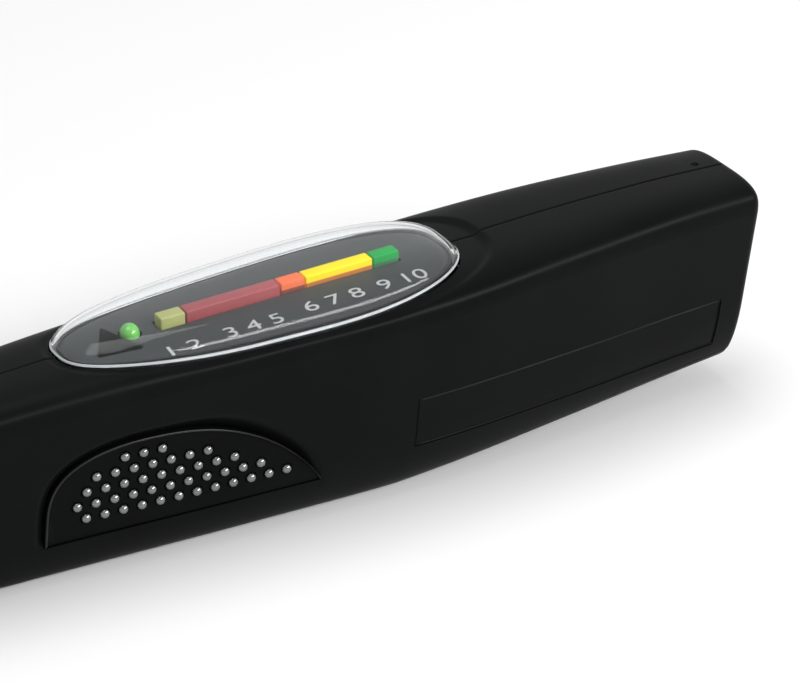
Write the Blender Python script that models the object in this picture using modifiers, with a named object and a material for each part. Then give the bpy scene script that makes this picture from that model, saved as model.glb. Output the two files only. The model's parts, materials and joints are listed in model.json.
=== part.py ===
# A handheld diamond tester, lying on its underside: probe and cap towards -X, rear end
# towards +X, grip and label on -Y. Lengths are metres. "From the rear" is measured along
# -X from the rear end, and a table or value of shares holds ratios of the sizes it follows.

import math

import bmesh
import bpy
from mathutils import Matrix, Vector

for old in list(bpy.data.objects):
    bpy.data.objects.remove(old, do_unlink=True)

# Clearances
fit_gap = 0.0003
solder_gap = 0.0002
parting_gap = 0.0003
overrun = 0.0040
merge_distance = 0.00001

# Body: its width and height follow from the two cells stacked in its rear half.
shell_length = 0.158
cap_length = 0.0257
wall = 0.0018
cell_radius = 0.00525
cell_gap = 0.0004
tray_wall = 0.0008
beside_tray = 0.00755
above_tray = 0.0125
door_thickness = wall - fit_gap
overall_length = shell_length + fit_gap + cap_length
body_width = 2 * (cell_radius + cell_gap + tray_wall + beside_tray)
body_height = door_thickness + 4 * cell_radius + 3 * cell_gap + tray_wall + above_tray
crown_drop = 0.00455
crown_power = 3.4
side_taper_share = 0.134
corner_width_share = 0.30
corner_height_share = 0.38
rear_round = 0.0016
front_round = 0.0010
rear_rake = 0.0012
rear_rake_reach = 0.020
underside_rise = 0.0044
underside_rise_reach = 0.065
chin_rise = 0.0080
chin_reach = 0.030
station_spacing = 0.0075

# Distance from the rear, half width and top line, as shares of the shell's length,
# half the body's width and the body's height.
station_shares = (
    (0.000, 0.700, 0.990),
    (0.095, 0.779, 1.000),
    (0.222, 0.907, 0.992),
    (0.380, 1.000, 0.960),
    (0.570, 0.907, 0.940),
    (0.791, 0.729, 0.908),
    (0.886, 0.660, 0.865),
    (0.949, 0.600, 0.785),
    (1.000, 0.500, 0.660),
)

# Window and what lies under it
window_centre_share = 0.5367
window_half_length = 0.0329
window_land = 0.0013
window_power = 2.8
window_ledge_depth = 0.0033
lens_rise = 0.0034
lens_wall = 0.0011
lens_edge_power = 6
lens_shares = (0.20, 0.45, 0.65, 0.80, 0.90, 0.96, 1.0)
lens_inner_shares = (0.20, 0.50, 0.72, 0.88, 0.96)
plate_thickness = 0.0012
plate_below_crown = 0.0002
plate_shares = (0.30, 0.62, 0.86, 1.0)
board_thickness = 0.0010
display_board_depth = 0.0042
display_board_length = 0.0620
display_board_forward = 0.0022
board_side_clearance = 0.0012
bar_width = 0.0023
bar_height = 0.00155
bar_start_behind_centre = 0.0238
bar_gap = 0.0002
bar_block_lengths = (
    ("bar_segment_1", 0.0044),
    ("bar_segment_2", 0.0114),
    ("bar_segment_3", 0.0040),
    ("bar_segment_4", 0.0156),
    ("bar_segment_5", 0.0040),
)
bar_housing_wall = 0.0008
chip_length = 0.0016
chip_width = 0.0012
chip_height = 0.0008
ready_led_ahead_of_centre = 0.0210
ready_led_radius = 0.0015
ready_led_rise = 0.0016
ready_led_flange = 0.0003
led_flange_height = 0.0010

# Main board
board_spacing = 0.0046
main_board_behind_front = 0.0115
main_board_past_tray = 0.0074
main_board_half_width = 0.0066
tongue_length = 0.0365
tongue_half_width = 0.0044
header_share = 0.376
header_length = 0.0120
header_width = 0.0025
controller_behind_header = 0.0030
controller_side = 0.0080
controller_height = 0.0012
controller_chamfer = 0.0002
buzzer_from_edge = 0.0105
buzzer_radius = 0.0055
buzzer_height = 0.0045
component_gap = 0.0005
capacitor_radius = 0.0022
capacitor_height = 0.0055
can_chamfer = 0.0003
ledge_length = 0.0030
ledge_height = 0.0016
ledge_reach = 0.0010
display_ledge_shares = (0.06, 0.55, 0.94)
main_ledge_shares = (0.034, 0.79)

# Power button
button_behind_front = 0.0200
button_length = 0.0110
button_width = 0.0062
button_power = 2.6
button_rise = 0.0008
button_travel = 0.0005
button_flange = 0.0007
button_flange_height = 0.0008
button_post_radius = 0.0014
switch_side = 0.0060
switch_height = 0.0026
plunger_radius = 0.0015
button_post_reach = 0.0009
plunger_sink = 0.0010

# Battery bay, square to the sloping underside
cell_length = 0.0435
cell_nub_radius = 0.0026
cell_nub_length = 0.0010
bay_start = 0.0165
tray_skirt_height = 0.0110
tray_foot_half_width = 0.0030
contact_thickness = 0.0004
contact_width = 0.0080
door_width = 0.0124
door_length = 0.0610
lead_radius = 0.0005
lead_spread = 0.0014

# Probe
housing_inside = 0.0300
housing_side_wall = 0.0008
housing_bore_radius = 0.0035
housing_rear_wall = 0.0010
housing_wire_radius = 0.0017
housing_front_wall = 0.0110
housing_neck_radius = 0.0035
barrel_radius = 0.0046
barrel_length = 0.0062
cone_length = 0.0050
cone_end_radius = 0.0027
sleeve_radius = 0.0016
sleeve_bore_radius = 0.0010
sleeve_out = 0.0035
carrier_length = 0.0062
tip_radius = 0.00072
tip_point_radius = 0.00035
tip_reach = 0.0034
tip_depth = 0.0120
spring_wire_radius = 0.0003
spring_radius = housing_bore_radius - 2 * fit_gap - spring_wire_radius
spring_turns = 6
spring_points_per_turn = 9
cap_mouth_wall = 0.0011
cap_front_radius = 0.0054
cap_wall = 0.0010
cap_round = 0.0028

# Grips
grip_centre_share = 0.6582
grip_height_share = 0.405
grip_half_span = 0.0200
grip_foot_drop = 0.0080
grip_height = 0.0160
grip_rear_length = 0.0295
grip_front_length = 0.0152
grip_peak_forward = 0.0050
grip_scoop = 0.0020
scoop_shares = (0.3, 1.0, 0.75, 0.3)
grip_rear_power = 2.4
grip_rear_round = 0.88
grip_front_round = 0.48
grip_depth = 0.0019
grip_backing = 0.0012
grip_backing_margin = 0.0016
grip_backing_overlap = 0.0006
pad_thickness = 0.0008
pad_below_side = 0.0004
stud_plate_thickness = 0.0004
stud_plate_margin = 0.0009
stud_plate_gap = 0.0001
stud_radius = 0.00066
stud_hole_radius = 0.00086
stud_rise = 0.00055
stud_shoulder_share = 0.55
stud_top_share = 0.62
stud_sides = 6
stud_pitch = 0.00293
stud_row_pitch = 0.00240
stud_first_row = 0.0043
stud_first_back = 0.0185
stud_rows = ((0, 12), (3, 11), (6, 9), (9, 7), (14, 3))

# Label panel
label_start = 0.0056
label_end_share = 0.4038
label_low = 0.0086
label_height = 0.0087
label_thickness = 0.0004
label_below_side = 0.0001

# Case screws: two near the rear end, one ahead of the battery bay, one behind the button
screw_rear_inset = 0.0095
screw_past_tray = 0.0054
screw_front_share = 0.8025
screw_height_shares = (0.797, 0.500, 0.243, 0.743)
screw_head_radius = 0.0017
screw_head_height = 0.0012
screw_radius = 0.0009
screw_length = 0.0120
screw_sink = 0.0004
boss_radius = 0.0025
screw_side_gap = 0.00025

round_steps = 20
small_round_steps = 12
crown_steps = 6
side_steps = 3
corner_steps = 5
round_rings = 3
outline_steps = 40
grip_steps = 10
lead_steps = 6
patch_steps = 12
sharp_degrees = 35

parts = bpy.data.collections.new("diamond_tester")
cutters = bpy.data.collections.new("cutters")
for collection in (parts, cutters):
    bpy.context.scene.collection.children.link(collection)
cutters.hide_render = True


def x_at(from_rear):
    return overall_length / 2 - from_rear


def window_centre():
    return window_centre_share * shell_length


def material(name, colour, roughness, metallic=0.0):
    made = bpy.data.materials.get(name)
    if made:
        return made
    made = bpy.data.materials.new(name)
    made.use_nodes = True
    shader = made.node_tree.nodes["Principled BSDF"]
    shader.inputs["Base Color"].default_value = (*colour, 1.0)
    shader.inputs["Roughness"].default_value = roughness
    shader.inputs["Metallic"].default_value = metallic
    made.diffuse_color = (*colour, 1.0)
    return made


def case_black():
    return material("case_black", (0.030, 0.032, 0.034), 0.32)


def grip_black():
    return material("grip_black", (0.020, 0.021, 0.022), 0.55)


def board_green():
    return material("board_green", (0.02, 0.16, 0.08), 0.5)


def black_plastic():
    return material("black_plastic", (0.02, 0.02, 0.02), 0.5)


def white_plastic():
    return material("white_plastic", (0.80, 0.80, 0.78), 0.45)


def steel():
    return material("steel", (0.62, 0.62, 0.60), 0.28, 1.0)


def chrome():
    return material("chrome", (0.82, 0.83, 0.84), 0.10, 1.0)


def place(name, data, helper=False):
    made = bpy.data.objects.new(name, data)
    if helper:
        made.display_type = "WIRE"
        made.hide_render = True
    (cutters if helper else parts).objects.link(made)
    return made


def put(name, mesh, surface, helper=False):
    """Makes an object of a bmesh, its origin in its middle, among the parts or the cutters."""
    data = bpy.data.meshes.new(name)
    bmesh.ops.recalc_face_normals(mesh, faces=mesh.faces)
    corners = [Vector(pick(point.co[i] for point in mesh.verts) for i in range(3)) for pick in (min, max)]
    centre = (corners[0] + corners[1]) / 2
    bmesh.ops.translate(mesh, vec=-centre, verts=mesh.verts)
    mesh.to_mesh(data)
    mesh.free()
    data.shade_smooth()
    data.set_sharp_from_angle(angle=math.radians(sharp_degrees))
    if surface:
        data.materials.append(surface)
    made = place(name, data, helper)
    made.location = centre
    return made


def add_loft(mesh, rings):
    """Skins closed rings of equal count, with a flat face on each end."""
    rows = [[mesh.verts.new(point) for point in ring] for ring in rings]
    for row, following in zip(rows, rows[1:]):
        for i in range(len(row)):
            j = (i + 1) % len(row)
            mesh.faces.new((row[i], row[j], following[j], following[i]))
    mesh.faces.new(rows[0])
    mesh.faces.new(rows[-1])


def loft(name, rings, surface, helper=False):
    mesh = bmesh.new()
    add_loft(mesh, rings)
    return put(name, mesh, surface, helper)


def add_box(mesh, low, high):
    matrix = Matrix.Translation((Vector(low) + Vector(high)) / 2)
    size = Matrix.Diagonal((*(b - a for a, b in zip(low, high)), 1))
    bmesh.ops.create_cube(mesh, size=1, matrix=matrix @ size)


def box(name, low, high, surface, helper=False):
    mesh = bmesh.new()
    add_box(mesh, low, high)
    return put(name, mesh, surface, helper)


def cylinder(name, centre, direction, radius, length, surface, helper=False, steps=round_steps):
    """A cylinder whose middle is at centre, along direction."""
    mesh = bmesh.new()
    turn = Vector((0, 0, 1)).rotation_difference(Vector(direction)).to_matrix().to_4x4()
    bmesh.ops.create_cone(
        mesh, cap_ends=True, segments=steps, radius1=radius, radius2=radius,
        depth=length, matrix=Matrix.Translation(centre) @ turn,
    )
    return put(name, mesh, surface, helper)


def turned(name, profile, location, turn, surface, steps=round_steps):
    """Turns (radius, height) points, top to bottom on the outside, round the local Z axis."""
    data = bpy.data.meshes.new(name)
    closed = min(radius for radius, height in profile) > 0
    count = len(profile)
    edges = [(i, i + 1) for i in range(count - 1)]
    if closed:
        edges.append((count - 1, 0))
    data.from_pydata([(radius, 0, height) for radius, height in profile], edges, [])
    data.materials.append(surface)
    made = place(name, data)
    made.location = location
    made.rotation_euler = turn
    screw = made.modifiers.new("Turn", "SCREW")
    screw.steps = screw.render_steps = steps
    screw.use_merge_vertices = True
    screw.merge_threshold = merge_distance
    screw.use_smooth_shade = True
    return made


def along_probe(name, profile, surface, steps=round_steps):
    """A turned piece on the probe's axis. Heights are distances from the rear."""
    location = (x_at(0), 0, probe_axis_height())
    return turned(name, profile, location, (0, -math.pi / 2, 0), surface, steps)


def wire(name, points, radius, surface, resolution=1):
    data = bpy.data.curves.new(name, "CURVE")
    data.dimensions = "3D"
    data.bevel_depth = radius
    data.bevel_resolution = resolution
    data.use_fill_caps = True
    line = data.splines.new("POLY")
    line.points.add(len(points) - 1)
    for target, point in zip(line.points, points):
        target.co = (*point, 1)
    data.materials.append(surface)
    return place(name, data)


def combine(target, other, operation="DIFFERENCE"):
    modifier = target.modifiers.new(operation.title() + " " + other.name, "BOOLEAN")
    modifier.operation = operation
    modifier.solver = "EXACT"
    modifier.object = other


def soften(target, width):
    modifier = target.modifiers.new("Soft edges", "BEVEL")
    modifier.width = width
    modifier.segments = 1
    modifier.limit_method = "ANGLE"


def frame_empty(name, matrix):
    made = place(name, None)
    made.matrix_basis = matrix
    made.empty_display_size = wall
    return made


def smooth_between(table, column, share):
    """The table's column at a share of its first column, on a curve through every row."""
    places = [row[0] for row in table]
    values = [row[column] for row in table]
    slopes = [(b - a) / (q - p) for a, b, p, q in zip(values, values[1:], places, places[1:])]
    tangents = [slopes[0], *((a + b) / 2 for a, b in zip(slopes, slopes[1:])), slopes[-1]]
    share = min(max(share, places[0]), places[-1])
    i = max(k for k in range(len(places) - 1) if places[k] <= share)
    run = places[i + 1] - places[i]
    u = (share - places[i]) / run
    rest = 1 - u
    start = (1 + 2 * u) * rest * rest * values[i] + u * rest * rest * run * tangents[i]
    end = u * u * (3 - 2 * u) * values[i + 1] - u * u * rest * run * tangents[i + 1]
    return start + end


def half_width(t):
    return body_width / 2 * smooth_between(station_shares, 1, t / shell_length)


def top_line(t):
    return body_height * smooth_between(station_shares, 2, t / shell_length)


def underside(t):
    rear = max(0, 1 - t / underside_rise_reach)
    chin = max(0, (t - shell_length + chin_reach) / chin_reach)
    return underside_rise * rear + chin_rise * chin**2


def side_at(t, z, inset=0):
    """Half the body's width at a height, from the shoulder down to the underside."""
    half = half_width(t) - inset
    shoulder = top_line(t) - crown_drop
    low = underside(t) + inset
    corner = corner_height_share * (shoulder - low)
    y = half - side_taper_share * (shoulder - z)
    if z < low + corner:
        sine = min(1, (low + corner - z) / corner)
        y -= corner_width_share * half * (1 - math.sqrt(1 - sine**2))
    return y


def crown_at(t, y):
    """Height of the body's top at a distance y from the centre line."""
    share = min(1, abs(y) / half_width(t))
    return top_line(t) - crown_drop * (1 - (1 - share**crown_power) ** (1 / crown_power))


def section(t, inset):
    """One ring of the body, raked near the rear end."""
    half = half_width(t) - inset
    shoulder = top_line(t) - crown_drop
    low = underside(t) + inset
    corner = corner_height_share * (shoulder - low)
    points = []
    for i in range(crown_steps + 1):
        angle = math.pi / 2 * (1 - i / crown_steps)
        y = half * max(0, math.cos(angle)) ** (2 / crown_power)
        rise = (crown_drop - inset) * math.sin(angle) ** (2 / crown_power)
        points.append((y if i else 0, shoulder + rise))
    for i in range(1, side_steps + 1):
        z = shoulder - i / (side_steps + 1) * (shoulder - low - corner)
        points.append((side_at(t, z, inset), z))
    for i in range(corner_steps + 1):
        z = low + corner * (1 - math.sin(math.pi / 2 * i / corner_steps))
        points.append((side_at(t, z, inset), z))
    points.append((0, low))
    ring = [*points, *((-y, z) for y, z in points[-2:0:-1])]
    return [(x_at(t + rake(t, z)), y, z) for y, z in ring]


def rake(t, z):
    """How far forward the body leans below the top of its rear face, near its rear end."""
    drop = 1 - z / (top_line(0) - rear_round)
    return rear_rake * max(0, 1 - t / rear_rake_reach) * max(0, drop)


def edge_places(size):
    """(distance in, extra inset) of the rings round an end's edge, from the end face inwards."""
    if size <= 0:
        return [(0, 0)]
    angles = [math.pi / 2 * i / round_rings for i in range(round_rings + 1)]
    return [(size * (1 - math.cos(a)), size * (1 - math.sin(a))) for a in angles]


def body_rings(inset):
    """Rings of the body's outside or, with the wall as inset, of its hollow."""
    rear = [(inset + d, inset + more) for d, more in edge_places(rear_round - inset)]
    front = [(shell_length - inset - d, inset + more) for d, more in edge_places(front_round - inset)]
    start, end = rear[-1][0], front[-1][0]
    count = round((end - start) / station_spacing)
    middle = [(start + (end - start) * i / count, inset) for i in range(1, count)]
    return [section(t, depth) for t, depth in rear + middle + front[::-1]]


def power_point(angle, power):
    """A point of a superellipse that fits a square from -1 to 1."""
    c, s = math.cos(angle), math.sin(angle)
    return tuple(math.copysign(abs(v) ** (2 / power), v) for v in (c, s))


def window_outline(share=1, grow=0):
    """(distance from the rear, y) points of the window's outline, shrunk or grown."""
    points = []
    for i in range(outline_steps):
        u, v = power_point(2 * math.pi * (i + 0.5) / outline_steps, window_power)
        t = window_centre() - (window_half_length * share + grow) * u
        edge = half_width(window_centre() - window_half_length * u) - window_land
        points.append((t, (edge * share + grow) * v))
    return points


def lens_skin(share, grow, depth):
    """A ring of the lens's dome at a share of the way out, and a depth under its outside."""
    rise = lens_rise * math.sqrt(1 - share**lens_edge_power)
    return [(x_at(t), y, crown_at(t, y) + rise - depth) for t, y in window_outline(share, grow)]


def level_ring(outline, height):
    """A ring over (distance from the rear, y) points, at height(distance)."""
    return [(x_at(t), y, height(t)) for t, y in outline]


def window_cutter():
    outline = window_outline(1, fit_gap)
    rings = [
        level_ring(outline, lambda t: top_line(t) - window_ledge_depth),
        level_ring(outline, lambda t: top_line(t) + overrun),
    ]
    return loft("window_cutter", rings, None, True)


def window_lens():
    skirt = [(1, 0), (1, -lens_wall)]
    rings = [lens_skin(share, 0, 0) for share in lens_shares]
    for share, grow in skirt:
        low = window_outline(share, grow)
        rings.append(level_ring(low, lambda t: top_line(t) - window_ledge_depth + fit_gap))
    rings.append(lens_skin(1, -lens_wall, 0))
    rings += [lens_skin(share, -lens_wall, lens_wall) for share in lens_inner_shares[::-1]]
    clear = material("clear_plastic", (0.85, 0.88, 0.90), 0.05)
    clear.node_tree.nodes["Principled BSDF"].inputs["Transmission Weight"].default_value = 1.0
    return loft("window_lens", rings, clear)


def bar_start():
    return window_centre() - bar_start_behind_centre


def bar_end():
    blocks = [length for name, length in bar_block_lengths]
    return bar_start() + sum(blocks) + bar_gap * (len(blocks) - 1)


def ready_led_from_rear():
    return window_centre() + ready_led_ahead_of_centre


def display_board_ends():
    middle = window_centre() + display_board_forward
    return middle - display_board_length / 2, middle + display_board_length / 2


def display_board_top():
    return top_line(display_board_ends()[1]) - display_board_depth


def plate_top(t, y=0):
    return crown_at(t, y) - plate_below_crown


def slot_cutter(name, margin):
    """A box round the whole bar, wider than it by the margin."""
    low = (x_at(bar_end() + margin), -bar_width / 2 - margin, display_board_top() - overrun)
    high = (x_at(bar_start() - margin), bar_width / 2 + margin, body_height + overrun)
    return box(name, low, high, None, True)


def display_plate():
    edge = -lens_wall - fit_gap

    def skin(share, depth):
        outline = window_outline(share, edge * share)
        return [(x_at(t), y, plate_top(t, y) - depth) for t, y in outline]

    rings = [skin(share, 0) for share in plate_shares]
    rings += [skin(share, plate_thickness) for share in plate_shares[::-1]]
    plate = loft("display_plate", rings, material("plate_grey", (0.36, 0.38, 0.39), 0.5))
    combine(plate, slot_cutter("bar_slot_cutter", fit_gap))
    centre = (x_at(ready_led_from_rear()), 0, display_board_top())
    radius = ready_led_radius + fit_gap
    combine(plate, cylinder("led_hole_cutter", centre, (0, 0, 1), radius, body_height, None, True))


def bar_colours():
    return (
        (0.00, 0.42, 0.14),
        (0.95, 0.88, 0.02),
        (0.90, 0.34, 0.20),
        (0.55, 0.16, 0.15),
        (0.52, 0.55, 0.24),
    )


def sloped_box(name, start, end, half, low, top, surface, helper=False):
    """A bar along X whose top follows top(distance from the rear)."""
    rings = []
    for t in (start, end):
        x, high = x_at(t), top(t)
        rings.append([(x, -half, low), (x, half, low), (x, half, high), (x, -half, high)])
    return loft(name, rings, surface, helper)


def indicator_bar():
    """Five light blocks end to end, a chip under each, and the light box round them."""
    margin = fit_gap + bar_housing_wall
    half = bar_width / 2 + margin

    def block_top(t):
        return plate_top(t) + bar_height

    def housing_top(t):
        return plate_top(t, half) - plate_thickness - fit_gap

    board = display_board_top()
    chip_low = board + solder_gap
    low = chip_low + chip_height + fit_gap
    t = bar_start()
    for number, ((name, length), colour) in enumerate(zip(bar_block_lengths, bar_colours()), 1):
        surface = material("bar_colour_" + str(number), colour, 0.35)
        sloped_box(name, t, t + length, bar_width / 2, low, block_top, surface)
        middle = x_at(t + length / 2)
        corner = (middle - chip_length / 2, -chip_width / 2, chip_low)
        far = (middle + chip_length / 2, chip_width / 2, chip_low + chip_height)
        box("indicator_chip_" + str(number), corner, far, white_plastic())
        t += length + bar_gap
    start, end = bar_start() - margin, bar_end() + margin
    low = board + solder_gap
    housing = sloped_box("bar_housing", start, end, half, low, housing_top, white_plastic())
    combine(housing, slot_cutter("housing_slot_cutter", fit_gap))


def ready_led():
    low = display_board_top() + fit_gap
    top = plate_top(ready_led_from_rear()) + ready_led_rise
    flange = ready_led_radius + ready_led_flange
    dome = [
        (ready_led_radius * math.sin(a), top - ready_led_radius * (1 - math.cos(a)))
        for a in (math.pi / 2 * i / crown_steps for i in range(crown_steps + 1))
    ]
    neck = low + led_flange_height
    profile = [*dome, (ready_led_radius, neck), (flange, neck), (flange, low), (0, low)]
    green = material("led_green", (0.05, 0.50, 0.12), 0.15)
    place = (x_at(ready_led_from_rear()), 0, 0)
    turned("ready_led", profile, place, (0, 0, 0), green, small_round_steps)


def display_board():
    """The board's half width follows the narrowest place of the case round it."""
    top = display_board_top()
    start, end = display_board_ends()
    half = side_at(end, top) - wall - board_side_clearance
    low = (x_at(end), -half, top - board_thickness)
    box("display_board", low, (x_at(start), half, top), board_green())
    return half


def main_board_top():
    return display_board_top() - board_thickness - board_spacing


def main_board_ends():
    """Distances from the rear of the main board's rear edge, its narrow tongue and its front edge."""
    end = shell_length - main_board_behind_front
    return bay_places()[-1] + main_board_past_tray, end - tongue_length, end


def main_board():
    start, tongue, end = main_board_ends()
    steps = (
        (start, main_board_half_width), (tongue, main_board_half_width),
        (tongue, tongue_half_width), (end, tongue_half_width),
    )
    outline = [*steps, *((t, -half) for t, half in steps[::-1])]
    low = main_board_top() - board_thickness
    rings = [level_ring(outline, lambda t: low), level_ring(outline, lambda t: main_board_top())]
    loft("main_board", rings, board_green())


def board_parts():
    """What stands on the main board's top and hangs under it."""
    top = main_board_top() + solder_gap
    under = main_board_top() - board_thickness - solder_gap
    header_top = display_board_top() - board_thickness - solder_gap
    edge, tongue, front = main_board_ends()
    header_t = edge + header_share * (front - edge)
    x = x_at(header_t)
    low = (x - header_length / 2, -header_width / 2, top)
    high = (x + header_length / 2, header_width / 2, header_top)
    box("board_header", low, high, black_plastic())
    half = controller_side / 2
    x = x_at(header_t - header_length / 2 - controller_behind_header - half)
    chip = box("microcontroller", (x - half, -half, top), (x + half, half, top + controller_height),
               black_plastic())
    soften(chip, controller_chamfer)
    buzzer_t = edge + buzzer_from_edge
    capacitor_t = buzzer_t + buzzer_radius + component_gap + capacitor_radius
    for name, t, radius, height, surface in (
        ("buzzer", buzzer_t, buzzer_radius, buzzer_height, black_plastic()),
        ("capacitor", capacitor_t, capacitor_radius, capacitor_height, steel()),
    ):
        centre = (x_at(t), 0, under - height / 2)
        made = cylinder(name, centre, (0, 0, 1), radius, height, surface, steps=small_round_steps)
        soften(made, can_chamfer)


def button_from_rear():
    return shell_length - button_behind_front


def button_outline(grow=0):
    """(distance from the rear, y) points of the power button, grown or shrunk."""
    points = []
    for i in range(round_steps):
        u, v = power_point(2 * math.pi * i / round_steps, button_power)
        t = button_from_rear() + (button_length / 2 + grow) * u
        points.append((t, (button_width / 2 + grow) * v))
    return points


def under_crown(depth):
    return lambda t: top_line(t) - depth


def flange_depths():
    top = wall + fit_gap + solder_gap
    return top, top + button_flange_height


def power_button():
    flange_top, flange_low = flange_depths()
    levels = (
        (button_flange, flange_low),
        (button_flange, flange_top),
        (0, flange_top),
        (0, -button_rise / 2),
        (-button_rise / 2, -button_rise),
    )
    rings = [level_ring(button_outline(grow), under_crown(depth)) for grow, depth in levels]
    button = loft("power_button", rings, material("button_black", (0.025, 0.026, 0.028), 0.45))
    low = plunger_top() + fit_gap
    high = top_line(button_from_rear()) - flange_top
    centre = (x_at(button_from_rear()), 0, (low + high) / 2)
    post = cylinder("button_post", centre, (0, 0, 1), button_post_radius, high - low, None, True,
                    small_round_steps)
    combine(button, post, "UNION")


def button_cutter():
    outline = button_outline(fit_gap)
    rings = [level_ring(outline, under_crown(depth)) for depth in (wall + overrun, -overrun)]
    return loft("button_cutter", rings, None, True)


def switch_top():
    return main_board_top() + solder_gap + switch_height


def plunger_top():
    """Just below the button's post, which reaches down past its flange."""
    return top_line(button_from_rear()) - flange_depths()[1] - button_post_reach - fit_gap


def power_switch():
    x, half = x_at(button_from_rear()), switch_side / 2
    low = (x - half, -half, main_board_top() + solder_gap)
    body = box("switch_body", low, (x + half, half, switch_top()), black_plastic())
    pocket = plunger_sink + button_travel + fit_gap
    centre = (x, 0, switch_top() - pocket + overrun / 2)
    radius = plunger_radius + fit_gap
    combine(body, cylinder("switch_pocket", centre, (0, 0, 1), radius, overrun, None, True,
                           small_round_steps))
    low, high = switch_top() - plunger_sink, plunger_top()
    centre = (x, 0, (low + high) / 2)
    cylinder("switch_plunger", centre, (0, 0, 1), plunger_radius, high - low, white_plastic(),
             steps=small_round_steps)


def bay_frame():
    """Local X runs rearwards along the sloping underside, local Z up from its outside."""
    slope = math.atan2(underside_rise, underside_rise_reach)
    corner = Matrix.Translation((x_at(0), 0, underside_rise))
    return frame_empty("battery_bay", corner @ Matrix.Rotation(-slope, 4, "Y"))


def bay_places():
    """Distances from the rear along the bay: contact, cell, front contact, tray end."""
    contact = bay_start + tray_wall + fit_gap
    cell = contact + contact_thickness + fit_gap
    front = cell + cell_length + cell_nub_length + fit_gap
    return contact, cell, front, front + contact_thickness + fit_gap + tray_wall


def cell_heights():
    low = door_thickness + cell_gap + cell_radius
    return low, low + 2 * cell_radius + cell_gap


def tray_top():
    return cell_heights()[1] + cell_radius + cell_gap + tray_wall


def battery_tray(bay):
    end = bay_places()[-1]
    half = cell_radius + cell_gap + tray_wall
    top = tray_top()
    tray = box("battery_tray", (-end, -half, tray_skirt_height), (-bay_start, half, top),
               black_plastic())
    inner = half - tray_wall
    hollow = box("tray_hollow", (-end + tray_wall, -inner, tray_skirt_height - overrun),
                 (-bay_start - tray_wall, inner, top - tray_wall), None, True)
    combine(tray, hollow)
    feet = bmesh.new()
    low, high = wall + cell_gap, tray_skirt_height + tray_wall
    for x in (-end, -bay_start - tray_wall):
        add_box(feet, (x, -tray_foot_half_width, low), (x + tray_wall, tray_foot_half_width, high))
    feet = put("tray_feet", feet, None, True)
    combine(tray, feet, "UNION")
    for made in (tray, hollow, feet):
        made.parent = bay


def cells(bay):
    contact, start, front, end = bay_places()
    length = cell_length + cell_nub_length
    profile = [
        (0, length), (cell_nub_radius, length), (cell_nub_radius, cell_length),
        (cell_radius, cell_length), (cell_radius, 0), (0, 0),
    ]
    wrap = material("cell_wrap", (0.10, 0.12, 0.16), 0.35, 0.3)
    low, high = cell_heights()
    for name, height, back, turn in (
        ("cell_upper", high, start, -math.pi / 2),
        ("cell_lower", low, start + length, math.pi / 2),
    ):
        cell = turned(name, profile, (-back, 0, height), (0, turn, 0), wrap)
        cell.parent = bay
    for name, back in (("contact_rear", contact), ("contact_front", front)):
        corner = (-back - contact_thickness, -contact_width / 2, low - contact_width / 2)
        far = (-back, contact_width / 2, high + contact_width / 2)
        box(name, corner, far, steel()).parent = bay


def battery_leads(bay):
    """Two short leads, from the tray's front wall up to the main board's rear edge."""
    height = cell_heights()[1] + 2 * cell_radius / 3
    wall_place = Vector((-bay_places()[-1] - fit_gap, 0, height))
    start = bay.matrix_basis @ wall_place
    board_edge = x_at(main_board_ends()[0] - fit_gap)
    end = Vector((board_edge, 0, main_board_top() - board_thickness / 2))
    for name, side, colour in (
        ("battery_lead_red", 1, (0.55, 0.03, 0.03)),
        ("battery_lead_black", -1, (0.02, 0.02, 0.02)),
    ):
        points = []
        for i in range(lead_steps + 1):
            u = i / lead_steps
            rise = u * u * (3 - 2 * u)
            x = start.x + (end.x - start.x) * u
            points.append((x, side * lead_spread, start.z + (end.z - start.z) * rise))
        wire(name, points, lead_radius, material(name, colour, 0.5))


def door_box(name, bay, margin):
    half = door_width / 2 + margin
    low = (-door_length - margin, -half, -overrun)
    made = box(name, low, (rear_rake + overrun, half, door_thickness + margin), None, True)
    made.parent = bay
    return made


def bay_cutter(bay):
    """Clears the case's lower corners beside the lower cell."""
    half = cell_radius + cell_gap
    low = (-bay_places()[-1], -half, door_thickness)
    made = box("bay_cutter", low, (-bay_start, half, tray_skirt_height), None, True)
    made.parent = bay
    return made


def battery_door(bay):
    """The door is the body's own skin inside the door's box, so the two are flush."""
    door = loft("battery_door", body_rings(0), case_black())
    combine(door, door_box("door_limits", bay, 0), "INTERSECT")


def probe_axis_height():
    """The probe leaves the middle of the body's front face."""
    return (top_line(shell_length) + underside(shell_length)) / 2


def housing_bore_ends():
    start = shell_length - housing_inside
    return start + housing_rear_wall, shell_length - housing_front_wall


def probe_places():
    """Distances from the rear of the housing's neck, barrel and ends."""
    neck = shell_length - wall - fit_gap
    barrel = shell_length + fit_gap
    cone = barrel + barrel_length
    return neck, barrel, cone, cone + cone_length


def probe_housing():
    neck, barrel, cone, end = probe_places()
    nose_bore = sleeve_radius + fit_gap
    outside = housing_bore_radius + housing_side_wall
    bore_start, bore_end = housing_bore_ends()
    start = bore_start - housing_rear_wall
    profile = [
        (cone_end_radius, end), (barrel_radius, cone), (barrel_radius, barrel),
        (housing_neck_radius, barrel), (housing_neck_radius, neck), (outside, neck),
        (outside, start), (housing_wire_radius, start), (housing_wire_radius, bore_start),
        (housing_bore_radius, bore_start), (housing_bore_radius, bore_end),
        (nose_bore, bore_end), (nose_bore, end),
    ]
    along_probe("probe_housing", profile, black_plastic())


def carrier_start():
    return housing_bore_ends()[1] - fit_gap - carrier_length


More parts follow.
